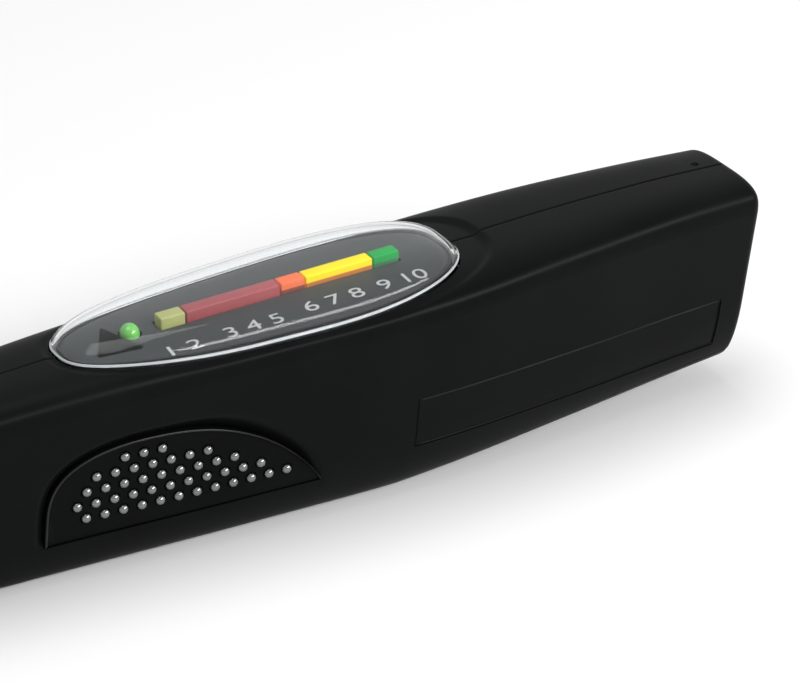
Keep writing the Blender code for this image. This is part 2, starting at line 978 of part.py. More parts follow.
def probe():
    start, front = carrier_start(), carrier_start() + carrier_length
    bore = sleeve_radius + solder_gap
    outside = housing_bore_radius - fit_gap
    profile = [(outside, front), (outside, start), (bore, start), (bore, front)]
    along_probe("probe_carrier", profile, white_plastic())
    sleeve_end = probe_places()[-1] + sleeve_out
    profile = [
        (sleeve_radius, sleeve_end), (sleeve_radius, start),
        (sleeve_bore_radius, start), (sleeve_bore_radius, sleeve_end),
    ]
    along_probe("probe_sleeve", profile, steel(), small_round_steps)
    end, low = sleeve_end + tip_reach, sleeve_end - tip_depth
    profile = [
        (0, end), (tip_point_radius, end - tip_point_radius / 2),
        (tip_radius, sleeve_end + tip_reach / 3), (tip_radius, low), (0, low),
    ]
    copper = material("copper", (0.72, 0.36, 0.22), 0.25, 1.0)
    along_probe("probe_tip", profile, copper, small_round_steps)


def probe_spring():
    reach = spring_wire_radius + fit_gap
    start, end = housing_bore_ends()[0] + reach, carrier_start() - reach
    count = spring_turns * spring_points_per_turn
    points = []
    for i in range(count + 1):
        angle = 2 * math.pi * i / spring_points_per_turn
        x = x_at(start + (end - start) * i / count)
        y = spring_radius * math.cos(angle)
        points.append((x, y, probe_axis_height() + spring_radius * math.sin(angle)))
    wire("probe_spring", points, spring_wire_radius, steel())


def probe_leads():
    """From the carrier back through the spring, then up to the main board."""
    axis = probe_axis_height()
    bend = main_board_top() - board_thickness - fit_gap - axis - lead_radius
    turn = shell_length - housing_inside - fit_gap
    for number, side in (("1", 1), ("2", -1)):
        y = side * (lead_radius + fit_gap)
        points = [(x_at(carrier_start() - fit_gap), y, axis)]
        for i in range(lead_steps + 1):
            angle = math.pi / 2 * i / lead_steps
            x = x_at(turn - bend * math.sin(angle))
            points.append((x, y, axis + bend * (1 - math.cos(angle))))
        points.append((x, y, axis + bend + lead_radius))
        wire("probe_lead_" + number, points, lead_radius, material("lead_white", (0.7, 0.7, 0.68), 0.5))


def probe_cap():
    start = shell_length + fit_gap
    inner = barrel_radius + fit_gap
    inner_front = cap_front_radius - cap_wall
    flank = overall_length - cap_round
    dome = [
        (cap_front_radius - cap_round * (1 - math.sin(a)), flank + cap_round * math.cos(a))
        for a in (math.pi / 2 * i / corner_steps for i in range(corner_steps + 1))
    ]
    deep = overall_length - cap_wall
    profile = [
        (0, overall_length), *dome, (inner + cap_mouth_wall, start), (inner, start),
        (inner_front, flank), (inner_front - cap_wall, deep), (0, deep),
    ]
    along_probe("probe_cap", profile, case_black())


def grip_frame(name, side):
    """Local Z points out of the body's side, local Y up it."""
    centre, height = grip_centre_share * shell_length, grip_height_share * body_height
    ends = []
    for t in (centre - grip_half_span, centre + grip_half_span):
        ends.append(Vector((x_at(t), side * side_at(t, height), height)))
    forward = (ends[1] - ends[0]).normalized()
    up = Vector((0, side * side_taper_share, 1))
    out = forward.cross(up).normalized() * side
    across = up.cross(out).normalized()
    axes = Matrix((across, out.cross(across), out)).transposed().to_4x4()
    return frame_empty(name, Matrix.Translation((ends[0] + ends[1]) / 2) @ axes)


def grip_outline(side, grow, shares=(1, 1, 1, 1)):
    """A half moon, its top before its middle. Shares scale grow to the rear, top, front, foot."""
    rear, top, front, foot = (grow * share for share in shares)
    low = -grip_foot_drop - foot
    height = grip_height + foot + top
    points = []
    for i in range(grip_steps + 1):
        u = math.cos(math.pi / 2 * i / grip_steps)
        arch = (1 - u**grip_rear_power) ** grip_rear_round
        points.append((grip_peak_forward - u * (grip_rear_length + rear), low + height * arch))
    for i in range(1, grip_steps + 1):
        angle = math.pi / 2 * i / grip_steps
        arch = max(0, math.cos(angle)) ** grip_front_round
        s = grip_peak_forward + math.sin(angle) * (grip_front_length + front)
        points.append((s, low + height * arch))
    return [(side * s, v) for s, v in points]


def grip_slab(name, side, frame, levels, surface, helper=False):
    """A loft of grip outlines, from (grow, height out of the side, shares) levels."""
    rings = []
    for grow, height, shares in levels:
        rings.append([(s, v, height) for s, v in grip_outline(side, grow, shares)])
    made = loft(name, rings, surface, helper)
    made.parent = frame
    return made


def stud_places(side):
    """Local places of the studs: five rows, each a whole number of half pitches along."""
    for row, (halves, count) in enumerate(stud_rows):
        v = -stud_first_row + row * stud_row_pitch
        for i in range(count):
            yield side * (-stud_first_back + (halves / 2 + i) * stud_pitch), v


def stud_rings(x, y, levels):
    rings = []
    for radius, height in levels:
        angles = [2 * math.pi * i / stud_sides for i in range(stud_sides)]
        rings.append([(x + radius * math.cos(a), y + radius * math.sin(a), height) for a in angles])
    return rings


def stud_group(name, side, frame, levels):
    mesh = bmesh.new()
    for x, y in stud_places(side):
        add_loft(mesh, stud_rings(x, y, levels))
    made = put(name, mesh, None, True)
    made.parent = frame
    return made


def grip(side_name, side):
    """A grip's pad and stud plate, and the cutter and backing that the shell needs."""
    frame = grip_frame(side_name + "_grip", side)
    whole = (1, 1, 1, 1)
    pad_top, pad_low = -pad_below_side, -pad_below_side - pad_thickness
    plate_high = pad_low - stud_plate_gap
    plate_low = plate_high - stud_plate_thickness
    levels = [(0, pad_low, whole), (0, pad_top, whole)]
    pad = grip_slab(side_name + "_grip_pad", side, frame, levels, grip_black())
    levels = [(-stud_plate_margin, plate_low, whole), (-stud_plate_margin, plate_high, whole)]
    plate = grip_slab(side_name + "_stud_plate", side, frame, levels, chrome())
    holes = [(stud_hole_radius, pad_low - pad_thickness), (stud_hole_radius, pad_top + pad_thickness)]
    combine(pad, stud_group(side_name + "_stud_holes", side, frame, holes))
    top = pad_top + stud_rise
    shoulder = top - stud_radius * stud_shoulder_share
    studs = [
        (stud_radius, plate_high - stud_plate_thickness / 2), (stud_radius, shoulder),
        (stud_radius * stud_top_share, top),
    ]
    combine(plate, stud_group(side_name + "_studs", side, frame, studs), "UNION")
    levels = [
        (fit_gap, -grip_depth, whole), (fit_gap, pad_low + pad_thickness / 2, whole),
        (grip_scoop, pad_thickness, scoop_shares), (grip_scoop, overrun, scoop_shares),
    ]
    cutter = grip_slab(side_name + "_grip_cutter", side, frame, levels, None, True)
    levels = [
        (grip_backing_margin, -grip_depth - grip_backing, whole),
        (grip_backing_margin, -grip_depth + grip_backing_overlap, whole),
    ]
    backing = grip_slab(side_name + "_grip_backing", side, frame, levels, None, True)
    return cutter, backing


def side_patch(name, margin, outer, inner, surface, helper=False):
    """The label's patch of the right side's skin, grown by a margin, between two depths."""
    start, end = label_start - margin, label_end_share * shell_length + margin
    low, high = label_low - margin, label_low + label_height + margin
    rings = []
    for i in range(patch_steps + 1):
        t = start + (end - start) * i / patch_steps
        ring = []
        for depth, order in ((outer, 1), (inner, -1)):
            heights = [low + (high - low) * k / side_steps for k in range(side_steps + 1)]
            for z in heights[::order]:
                ring.append((x_at(t + rake(t, z)), depth - side_at(t, z), z))
        rings.append(ring)
    return loft(name, rings, surface, helper)


def label_plate():
    inner = label_below_side + label_thickness
    surface = material("label_black", (0.024, 0.025, 0.027), 0.4)
    side_patch("label_plate", 0, label_below_side, inner, surface)


def label_cutter():
    depth = label_below_side + label_thickness + fit_gap
    return side_patch("label_cutter", fit_gap, -overrun, depth, None, True)


def screw_places():
    """(distance from the rear, height) of each case screw."""
    past_tray = bay_places()[-1] + screw_past_tray + boss_radius
    places = (screw_rear_inset, screw_rear_inset, past_tray, screw_front_share * shell_length)
    return [(t, share * body_height) for t, share in zip(places, screw_height_shares)]


def screw_seat(t, z):
    return side_at(t, z) - screw_head_height - screw_sink


def case_screws():
    """Pan-head screws from the left side, and the cutters for their holes and heads."""
    profile = [
        (0, screw_head_height), (screw_head_radius, screw_head_height), (screw_head_radius, 0),
        (screw_radius, 0), (screw_radius, -screw_length), (0, -screw_length),
    ]
    holes, heads = bmesh.new(), bmesh.new()
    for number, (t, z) in enumerate(screw_places(), 1):
        seat = screw_seat(t, z)
        name = "case_screw_" + str(number)
        turned(name, profile, (x_at(t), seat, z), (-math.pi / 2, 0, 0), steel(), small_round_steps)
        ends = (seat - screw_length - fit_gap, seat + fit_gap)
        for mesh, radius, low, high in (
            (holes, screw_radius + screw_side_gap, *ends),
            (heads, screw_head_radius + screw_side_gap, seat - fit_gap, seat + overrun),
        ):
            turn = Matrix.Rotation(math.pi / 2, 4, "X")
            matrix = Matrix.Translation((x_at(t), (low + high) / 2, z)) @ turn
            bmesh.ops.create_cone(
                mesh, cap_ends=True, segments=small_round_steps, radius1=radius, radius2=radius,
                depth=high - low, matrix=matrix,
            )
    return put("screw_holes", holes, None, True), put("screw_heads", heads, None, True)


def case_fixings(display_half):
    """Screw bosses and board ledges, from inside one side wall to inside the other."""
    mesh = bmesh.new()
    turn = Matrix.Rotation(math.pi / 2, 4, "X")
    for t, z in screw_places():
        reach = side_at(t, z) - wall / 2
        bmesh.ops.create_cone(
            mesh, cap_ends=True, segments=small_round_steps, radius1=boss_radius,
            radius2=boss_radius, depth=2 * reach, matrix=Matrix.Translation((x_at(t), 0, z)) @ turn,
        )
    display_low = display_board_top() - board_thickness - fit_gap
    main_low = main_board_top() - board_thickness - fit_gap
    start, end = display_board_ends()
    ledges = [(start + share * (end - start), display_low, display_half) for share in display_ledge_shares]
    start, tongue, end = main_board_ends()
    for share in main_ledge_shares:
        t = start + share * (end - start)
        half = main_board_half_width if t < tongue else tongue_half_width
        ledges.append((t, main_low, half))
    for t, top, half in ledges:
        inner, outer = half - ledge_reach, side_at(t, top - ledge_height) - wall / 2
        for side in (-1, 1):
            near, far = sorted((side * inner, side * outer))
            low = (x_at(t) - ledge_length / 2, near, top - ledge_height)
            add_box(mesh, low, (x_at(t) + ledge_length / 2, far, top))
    return put("case_fixings", mesh, None, True)


def nose_cutter():
    centre = (x_at(shell_length), 0, probe_axis_height())
    radius = housing_neck_radius + fit_gap
    return cylinder("nose_cutter", centre, (1, 0, 0), radius, 2 * overrun, None, True)


def case_shells(fixings, backings, shared, right_only, left_only):
    """Both halves of the case, cut from one body."""
    hollow = loft("hollow", body_rings(wall), None, True)
    length = overall_length + overrun
    for name, side, own in (("left_shell", 1, left_only), ("right_shell", -1, right_only)):
        shell = loft(name, body_rings(0), case_black())
        combine(shell, hollow)
        combine(shell, fixings, "UNION")
        combine(shell, backings[side], "UNION")
        near, far = sorted((side * parting_gap / 2, -side * body_width))
        low = (-length / 2, near, -overrun)
        other_half = box(name + "_other_half", low, (length / 2, far, body_height + overrun), None, True)
        combine(shell, other_half)
        for cutter in shared + own:
            combine(shell, cutter)


def main():
    window_lens()
    display_plate()
    indicator_bar()
    ready_led()
    display_half = display_board()
    main_board()
    board_parts()
    power_button()
    power_switch()
    bay = bay_frame()
    battery_tray(bay)
    cells(bay)
    battery_leads(bay)
    battery_door(bay)
    probe_housing()
    probe()
    probe_spring()
    probe_leads()
    probe_cap()
    label_plate()
    right_cutter, right_backing = grip("right", -1)
    left_cutter, left_backing = grip("left", 1)
    holes, heads = case_screws()
    bay_cuts = [door_box("door_cutter", bay, fit_gap), bay_cutter(bay)]
    shared = [window_cutter(), button_cutter(), nose_cutter(), holes, *bay_cuts]
    backings = {1: left_backing, -1: right_backing}
    right_own = [right_cutter, label_cutter()]
    case_shells(case_fixings(display_half), backings, shared, right_own, [left_cutter, heads])


main()
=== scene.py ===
import json
from math import acos, atan2, copysign, cos, hypot, pi, radians, sin, sqrt

import bpy
from mathutils import Matrix, Vector
from mathutils.kdtree import KDTree


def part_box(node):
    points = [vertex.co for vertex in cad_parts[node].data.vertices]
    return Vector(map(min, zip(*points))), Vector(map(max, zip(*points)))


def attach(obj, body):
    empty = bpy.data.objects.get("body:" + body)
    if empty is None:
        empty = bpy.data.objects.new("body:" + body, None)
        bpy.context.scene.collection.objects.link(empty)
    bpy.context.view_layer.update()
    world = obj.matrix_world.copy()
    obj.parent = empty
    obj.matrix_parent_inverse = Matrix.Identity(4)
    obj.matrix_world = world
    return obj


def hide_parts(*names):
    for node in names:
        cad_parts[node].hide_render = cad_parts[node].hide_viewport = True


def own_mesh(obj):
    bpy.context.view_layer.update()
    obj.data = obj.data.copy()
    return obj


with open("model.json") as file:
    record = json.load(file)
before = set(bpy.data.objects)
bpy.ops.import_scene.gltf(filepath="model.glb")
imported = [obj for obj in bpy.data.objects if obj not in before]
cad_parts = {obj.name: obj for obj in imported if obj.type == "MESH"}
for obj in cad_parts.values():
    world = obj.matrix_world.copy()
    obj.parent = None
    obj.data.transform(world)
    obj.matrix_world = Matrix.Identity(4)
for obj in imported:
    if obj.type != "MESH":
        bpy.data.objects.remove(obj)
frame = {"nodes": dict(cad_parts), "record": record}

scene = bpy.context.scene
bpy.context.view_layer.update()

# Camera first: the photograph's angle and distance, on an 800 x 684 frame
cameraView = dict(
    azimuth=-30.15, elevation=28.46, distance=0.561, lens=164.7, sensor=36, nearest=0.01,
    target=Vector((0.03186, 0.0, 0.020585)),
)


def placeCamera(view):
    a, e = radians(view["azimuth"]), radians(view["elevation"])
    back = Vector((sin(a) * cos(e), -cos(a) * cos(e), sin(e)))
    bpy.ops.object.camera_add(location=view["target"] + back * view["distance"])
    camera = bpy.context.object
    camera.name = "photoCamera"
    camera.rotation_euler = back.to_track_quat("Z", "Y").to_euler()
    camera.data.lens = view["lens"]
    camera.data.sensor_width = view["sensor"]
    camera.data.clip_start = view["nearest"]
    scene.camera = camera


placeCamera(cameraView)
print("camera placed")

alongX, alongY = (0, pi / 2, 0), (pi / 2, 0, 0)        # turns for an upright rod


def nothingSelected():
    if bpy.context.mode != "OBJECT":
        bpy.ops.object.mode_set(mode="OBJECT")
    bpy.ops.object.select_all(action="DESELECT")


def pick(*pieces):
    nothingSelected()
    for piece in pieces:
        piece.select_set(True)
    bpy.context.view_layer.objects.active = pieces[0]


def named(name):
    piece = bpy.context.object
    piece.name = piece.data.name = name
    return piece


def fresh(name, add, **options):
    # a new object from one of the add operators, alone in the selection
    nothingSelected()
    add(**options)
    return named(name)


def settled(piece):
    # its place, turn and size go into the mesh
    pick(piece)
    bpy.ops.object.transform_apply(location=True, rotation=True, scale=True)
    return piece


def block(name, middle, size, turn=(0, 0, 0)):
    return fresh(name, bpy.ops.mesh.primitive_cube_add, size=1, location=middle, rotation=turn,
                 scale=size)


def rod(name, radius, length, middle, turn=(0, 0, 0), sides=40):
    return fresh(name, bpy.ops.mesh.primitive_cylinder_add, vertices=sides, radius=radius,
                 depth=length, location=middle, rotation=turn)


def middleOf(low, high):
    return [(a + b) / 2 for a, b in zip(low, high)]


def sizeOf(low, high):
    return [b - a for a, b in zip(low, high)]


def copyOf(model, name, place):
    copy = bpy.data.objects.new(name, model.data.copy())
    scene.collection.objects.link(copy)
    copy.data.transform(place)
    return copy


def editAll():
    bpy.ops.object.mode_set(mode="EDIT")
    bpy.ops.mesh.select_all(action="SELECT")


def tidyMesh(piece, holes=True):
    pick(piece)
    editAll()
    bpy.ops.mesh.remove_doubles(threshold=0.000001)
    if holes:
        bpy.ops.mesh.fill_holes(sides=0)
    bpy.ops.mesh.select_all(action="SELECT")
    bpy.ops.mesh.normals_make_consistent(inside=False)
    bpy.ops.object.mode_set(mode="OBJECT")


def skinOf(name, rows, wrap=True, holes=True):
    # a grid primitive whose rows are laid on the given rows of points
    across = len(rows[0]) - (0 if wrap else 1)
    piece = fresh(name, bpy.ops.mesh.primitive_grid_add, x_subdivisions=across,
                  y_subdivisions=len(rows) - 1, size=1)
    flat = []
    for row in rows:
        for point in (row + row[:1] if wrap else row):
            flat.extend(point)
    piece.data.vertices.foreach_set("co", flat)
    tidyMesh(piece, holes)
    return piece


def modified(piece, kind, **settings):
    pick(piece)
    change = piece.modifiers.new("change", kind)
    for setting, value in settings.items():
        setattr(change, setting, value)
    bpy.ops.object.modifier_apply(modifier="change")


def carve(piece, tool, operation="DIFFERENCE"):
    modified(piece, "BOOLEAN", operation=operation, solver="MANIFOLD", object=tool)
    bpy.data.objects.remove(tool)


def softEdges(piece, width, segments=2):
    modified(piece, "BEVEL", width=width, segments=segments, limit_method="ANGLE",
             angle_limit=radians(30))


def finishPiece(piece, slotName, *nodes, rider="case", finish=None, angle=32):
    # finish names a material other than the slot's own
    settled(piece)
    bpy.ops.object.shade_smooth_by_angle(angle=radians(angle))
    piece.data.materials.clear()
    piece.data.materials.append(finishes[finish or slotName])
    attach(piece, rider)
    if nodes:
        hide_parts(*nodes)


def turnedPiece(name, profile, steps=48):
    # one point drawn along the (radius, height) profile, then spun about the upright axis
    closedLoop = profile[0][0] > 0 and profile[-1][0] > 0
    points = profile + profile[:1] if closedLoop else profile
    piece = fresh(name, bpy.ops.mesh.primitive_plane_add, size=0.001, location=(0, 0, 0))
    editAll()
    bpy.ops.mesh.merge(type="CENTER")
    bpy.ops.transform.translate(value=(points[0][0], 0, points[0][1]))
    for (radius, height), (nextRadius, nextHeight) in zip(points, points[1:]):
        step = (nextRadius - radius, 0, nextHeight - height)
        bpy.ops.mesh.extrude_vertices_move(TRANSFORM_OT_translate={"value": step})
    bpy.ops.mesh.select_all(action="SELECT")
    bpy.ops.mesh.spin(steps=steps, angle=2 * pi, center=(0, 0, 0), axis=(0, 0, 1))
    tidyMesh(piece, holes=False)
    return piece


def smooth(x):
    x = min(1.0, max(0.0, x))
    return x * x * (3 - 2 * x)


def quarter(steps):
    return [pi / 2 * i / steps for i in range(steps + 1)]


def ovalPoint(angle, power):
    # a point of the unit oval: 2 is a circle, more is squarer
    c, s = cos(angle), sin(angle)
    return (copysign(abs(c) ** (2 / power), c), copysign(abs(s) ** (2 / power), s))


body = dict(
    shell=0.158, overall=0.184, width=0.028, height=0.037, wall=0.0018, gap=0.0003,
    crownDrop=0.00455, crownPower=3.4, crownFlat=0.75, taper=0.134,
    cornerWide=0.30, cornerTall=0.38,
    rearRound=0.0016, frontRound=0.0010, rake=0.0012, rakeReach=0.020,
    underRise=0.0044, underReach=0.065, chinRise=0.0080, chinReach=0.030,
    rowStep=0.00034, wideStep=0.003, endRings=5, parting=0.00009, groove=0.00010, seamEdge=0.00018,
    cutPast=0.004,        # how far a cutting block stands past the skin
)
# distance from the rear, half width and top line, as shares
bodyStations = (
    (0.000, 0.700, 0.990), (0.095, 0.779, 1.000), (0.222, 0.907, 0.992),
    (0.380, 1.000, 0.960), (0.570, 0.907, 0.940), (0.791, 0.729, 0.908),
    (0.886, 0.660, 0.865), (0.949, 0.600, 0.785), (1.000, 0.500, 0.660),
)
# points over the crown's flat, its bend, the side, the lower corner and the underside
ringSteps = dict(fine=(26, 16, 56, 12, 8), coarse=(4, 8, 8, 8, 2))


def xAt(t):
    return body["overall"] / 2 - t


def smoothBetween(column, share):
    # a smooth curve through one column of the stations
    places, values = ([row[k] for row in bodyStations] for k in (0, column))
    slopes = [(b - a) / (q - p) for a, b, p, q in zip(values, values[1:], places, places[1:])]
    tangents = [slopes[0], *((a + b) / 2 for a, b in zip(slopes, slopes[1:])), slopes[-1]]
    share = min(max(share, places[0]), places[-1])
    i = max(k for k in range(len(places) - 1) if places[k] <= share)
    run = places[i + 1] - places[i]
    u = (share - places[i]) / run
    rest = 1 - u
    start = (1 + 2 * u) * rest * rest * values[i] + u * rest * rest * run * tangents[i]
    return start + u * u * (3 - 2 * u) * values[i + 1] - u * u * rest * run * tangents[i + 1]


def halfWidth(t):
    return body["width"] / 2 * smoothBetween(1, t / body["shell"])


def topLine(t):
    return body["height"] * smoothBetween(2, t / body["shell"])


def underSide(t):
    rear = max(0, 1 - t / body["underReach"])
    chin = max(0, (t - body["shell"] + body["chinReach"]) / body["chinReach"])
    return body["underRise"] * rear + body["chinRise"] * chin**2


def sideAt(t, z, inset=0.0):
    half = halfWidth(t) - inset
    shoulder = topLine(t) - body["crownDrop"]
    low = underSide(t) + inset
    corner = body["cornerTall"] * (shoulder - low)
    y = half - body["taper"] * (shoulder - z)
    if z < low + corner:
        sine = min(1, (low + corner - z) / corner)
        y -= body["cornerWide"] * half * (1 - sqrt(1 - sine**2))
    return y


def crownAt(t, y):
    share = min(1, abs(y) / halfWidth(t))
    power = body["crownPower"]
    return topLine(t) - body["crownDrop"] * (1 - (1 - share**power) ** (1 / power))


def topRow(outline, lift):
    return [(xAt(t), y, topLine(t) + lift) for t, y in outline]


def crownRow(outline, lift):
    return [(xAt(t), y, crownAt(t, y) + lift) for t, y in outline]


def leanBack(t, z):
    drop = 1 - z / (topLine(0) - body["rearRound"])
    return body["rake"] * max(0, 1 - t / body["rakeReach"]) * max(0, drop)


probeHeight = (topLine(body["shell"]) + underSide(body["shell"])) / 2


def halfRing(t, inset=0.0, steps="fine"):
    # (y, z, part) from the parting line at the top, over the crown and side, to the one below
    half = halfWidth(t) - inset
    shoulder = topLine(t) - body["crownDrop"]
    low = underSide(t) + inset
    rise, power = body["crownDrop"] - inset, body["crownPower"]
    corner = body["cornerTall"] * (shoulder - low)
    start, seam, level = body["parting"], body["seamEdge"], body["crownFlat"]
    flat, bend, sides, lower, under = ringSteps[steps]
    ring = []
    shares = [0, seam / half, *(level * (i + 1) / flat for i in range(flat))]
    first = acos(level ** (power / 2))
    shares += [cos(first * (1 - (i + 1) / bend)) ** (2 / power) for i in range(bend)]
    for share in shares:
        y = start + (half - start) * share
        ring.append((y, shoulder + rise * max(0, 1 - (y / half) ** power) ** (1 / power), "crown"))
    for i in range(1, sides):
        z = shoulder - i / sides * (shoulder - low - corner)
        ring.append((sideAt(t, z, inset), z, "side"))
    for i in range(lower + 1):
        z = low + corner * (1 - sin(pi / 2 * i / lower))
        ring.append((sideAt(t, z, inset), z, "side"))
    edge = ring[-1][0]
    for i in range(1, under):
        ring.append((edge + (start + seam - edge) * i / (under - 1), low, "under"))
    ring.append((start, low, "under"))
    return ring


def endPlaces(size, steps):
    return [(size * (1 - cos(a)), size * (1 - sin(a))) for a in quarter(steps)]


window = dict(
    centre=0.5367 * body["shell"], half=0.0329, land=0.0013, power=2.8, ledge=0.0033, steps=240,
    rise=0.0034, edgePower=6, wall=0.0011, wallTop=0.0003, domeWall=0.0006, domeEdge=0.00025,
)


def windowOutline(share=1.0, grow=0.0, steps=96):
    points = []
    for i in range(steps):
        u, v = ovalPoint(2 * pi * (i + 0.5) / steps, window["power"])
        t = window["centre"] - (window["half"] * share + grow) * u
        edge = halfWidth(window["centre"] - window["half"] * u) - window["land"]
        points.append((t, (edge * share + grow) * v))
    return points


def treeOf(points):
    tree = KDTree(len(points))
    for i, (a, b) in enumerate(points):
        tree.insert((a, b, 0), i)
    tree.balance()
    return tree


windowTree = treeOf(windowOutline(steps=1500))
dish = dict(start=0.030, end=0.128, side=0.00022, rear=0.00055, reach=0.0012, rearReach=0.0042,
            behind=0.0055, soft=0.0006, fadeFrom=0.93, fadeOver=0.07)


def dishDepth(t, y):
    # how far the crown sinks round the window, most behind it
    if not dish["start"] < t < dish["end"]:
        return 0
    far = windowTree.find((t, abs(y), 0))[2]
    u = abs(window["centre"] - t) / window["half"]
    edge = halfWidth(t) - window["land"]
    if u < 1 and abs(y) < edge * (1 - u ** window["power"]) ** (1 / window["power"]):
        far = 0
    rear = min(1, max(0, (window["centre"] - t) / (window["half"] + dish["behind"]))) ** 4
    reach = dish["reach"] + dish["rearReach"] * rear
    depth = dish["side"] + (dish["rear"] - dish["side"]) * rear
    fade = 1 - smooth((abs(y) / halfWidth(t) - dish["fadeFrom"]) / dish["fadeOver"])
    return depth * fade * (1 - smooth((far - reach + dish["soft"]) / (2 * dish["soft"])))


grip = dict(
    centre=0.6582 * body["shell"], height=0.405 * body["height"], stretch=(0.9975, 0.991),
    drop=0.0080, tall=0.0160, rear=0.0295, front=0.0152, peak=0.0050,
    rearPower=2.4, rearRound=0.88, frontRound=0.48, rearSteps=48, frontSteps=36,
    scoop=0.0023, scoopShares=(0.3, 0.72, 0.75, 0.12), scoopDepth=0.00125, steepest=0.6,
    scoopSpan=((-0.028, 0.024), (-0.010, 0.012)), lip=0.22, bulge=1.2, middle=(-0.001, -0.003),
    padBelow=0.00035, padThick=0.0009,
    pocket=(0.00018, 0.0017, -0.004), backing=(0.0016, 0.0012, 0.0030),        # grow, depths
)


def gripOutline(grow=0.0, shares=(1, 1, 1, 1), scale=1.0, bulge=0.0):
    # (along, up) from the rear corner over the arch to the front one, and back along the foot
    rear, top, front, foot = (grow * share for share in shares)
    low = -grip["drop"] - foot
    height = grip["tall"] + foot + top
    points = []
    for u in map(cos, quarter(grip["rearSteps"])):
        arch = (1 - u ** (grip["rearPower"] + bulge)) ** grip["rearRound"]
        points.append((grip["peak"] - u * (grip["rear"] + rear), low + height * arch))
    steps = grip["frontSteps"]
    for a in quarter(steps)[1:]:
        arch = max(0, cos(a)) ** grip["frontRound"]
        points.append((grip["peak"] + sin(a) * (grip["front"] + front), low + height * arch))
    first, last = points[0], points[-1]
    for i in range(1, steps):
        points.append((last[0] + (first[0] - last[0]) * i / steps, low))
    middle = grip["middle"]
    return [(middle[0] + (s - middle[0]) * scale, middle[1] + (v - middle[1]) * scale)
            for s, v in points]


def inOutline(s, v, outline):
    inside = False
    for (s1, v1), (s2, v2) in zip(outline, outline[1:] + outline[:1]):
        if (v1 > v) != (v2 > v) and s < s1 + (s2 - s1) * (v - v1) / (v2 - v1):
            inside = not inside
    return inside


def along(outline, step=0.00012):
    points = []
    for (s1, v1), (s2, v2) in zip(outline, outline[1:] + outline[:1]):
        count = max(1, int(hypot(s2 - s1, v2 - v1) / step))
        points += [(s1 + (s2 - s1) * i / count, v1 + (v2 - v1) * i / count) for i in range(count)]
    return points


gripEdge = gripOutline()
scoopEdge = gripOutline(grip["scoop"], grip["scoopShares"], bulge=grip["bulge"])
gripTree, scoopTree = treeOf(along(gripEdge)), treeOf(along(scoopEdge))


def gripPoint(s, v, side, depth):
    t = grip["centre"] + s * grip["stretch"][0]
    z = grip["height"] + v * grip["stretch"][1]
    return xAt(t), side * (sideAt(t, z) - depth), z


def gripRow(side, depth, grow=0.0, scale=1.0):
    return [gripPoint(s, v, side, depth) for s, v in gripOutline(grow, scale=scale)]


def scoopDepth(t, z):
    # an even slope from a soft lip down to the pad, shallower where the scoop is narrow
    s, v = (t - grip["centre"]) / grip["stretch"][0], (z - grip["height"]) / grip["stretch"][1]
    (rear, front), (bottom, top) = grip["scoopSpan"]
    if not (rear < s < front and bottom < v < top and inOutline(s, v, scoopEdge)):
        return 0
    near, far = gripTree.find((s, v, 0))[2], scoopTree.find((s, v, 0))[2]
    inside = inOutline(s, v, gripEdge)
    width = max(0, far - near) if inside else near + far
    slope = 1 if inside else far / max(width, 0.00001)
    lip = grip["lip"]
    fall = slope**2 / (2 * lip) if slope < lip else slope - lip / 2
    return min(grip["scoopDepth"], grip["steepest"] * width) * fall / (1 - lip / 2)


def skinRow(t, inset, side, shrink=1.0):
    ring = halfRing(t, inset)
    middle = (topLine(t) + underSide(t)) / 2
    row = []
    last = len(ring) - 1
    for i, (y, z, part) in enumerate(ring):
        if shrink < 1:
            y = body["parting"] + (y - body["parting"]) * shrink
            z = middle + (z - middle) * shrink
        else:
            if part == "crown":
                z -= dishDepth(t, y)
            elif part == "side":
                y -= scoopDepth(t, z)
            if inset == 0 and i == 0:
                z -= body["groove"]
            if inset == 0 and i == last:
                z += body["groove"]
        row.append((xAt(t + leanBack(t, z)), side * y, z))
    return row


def wholeRing(t, inset, shrink=1.0):
    ring = halfRing(t, inset, "coarse")
    middle = (topLine(t) + underSide(t)) / 2
    points = []
    for side, order in ((1, ring), (-1, ring[::-1])):
        for y, z, _ in order:
            z = middle + (z - middle) * shrink
            points.append((xAt(t + leanBack(t, z)), side * (y - body["parting"]) * shrink, z))
    return points


def bodyRows(rowAt, inset, ends, shares, step):
    # from the middle of the rear, round its edge, along the body and round the front
    rear, front = (endPlaces(size - inset, steps) if size >= inset else [(0, 0)]
                   for size, steps in zip((body["rearRound"], body["frontRound"]), ends))
    last = body["shell"] - inset
    start, end = inset + rear[-1][0], last - front[-1][0]
    count = round((end - start) / step)
    rows = [rowAt(inset, inset + rear[0][1], share) for share in shares]
    rows += [rowAt(inset + t, inset + more) for t, more in rear]
    rows += [rowAt(start + (end - start) * i / count, inset) for i in range(1, count)]
    rows += [rowAt(last - t, inset + more) for t, more in front[::-1]]
    return rows + [rowAt(last, inset + front[0][1], share) for share in shares[::-1]]


def halfBody(name, side):
    shares = [k / body["endRings"] for k in range(body["endRings"])]
    rows = bodyRows(lambda t, inset, shrink=1.0: skinRow(t, inset, side, shrink), 0, (9, 5),
                    shares, body["rowStep"])
    return skinOf(name, rows, wrap=False)


def wholeBody(name, inset, step):
    # the body's outside, or its hollow with the wall as inset
    return skinOf(name, bodyRows(wholeRing, inset, (6, 4), (0, 0.5), step))


def columnOf(name, outline, low, high):
    # an upright block over (distance from the rear, y) points, between two lifts off the top line
    return skinOf(name, [topRow(outline, lift) for lift in (low, high)])


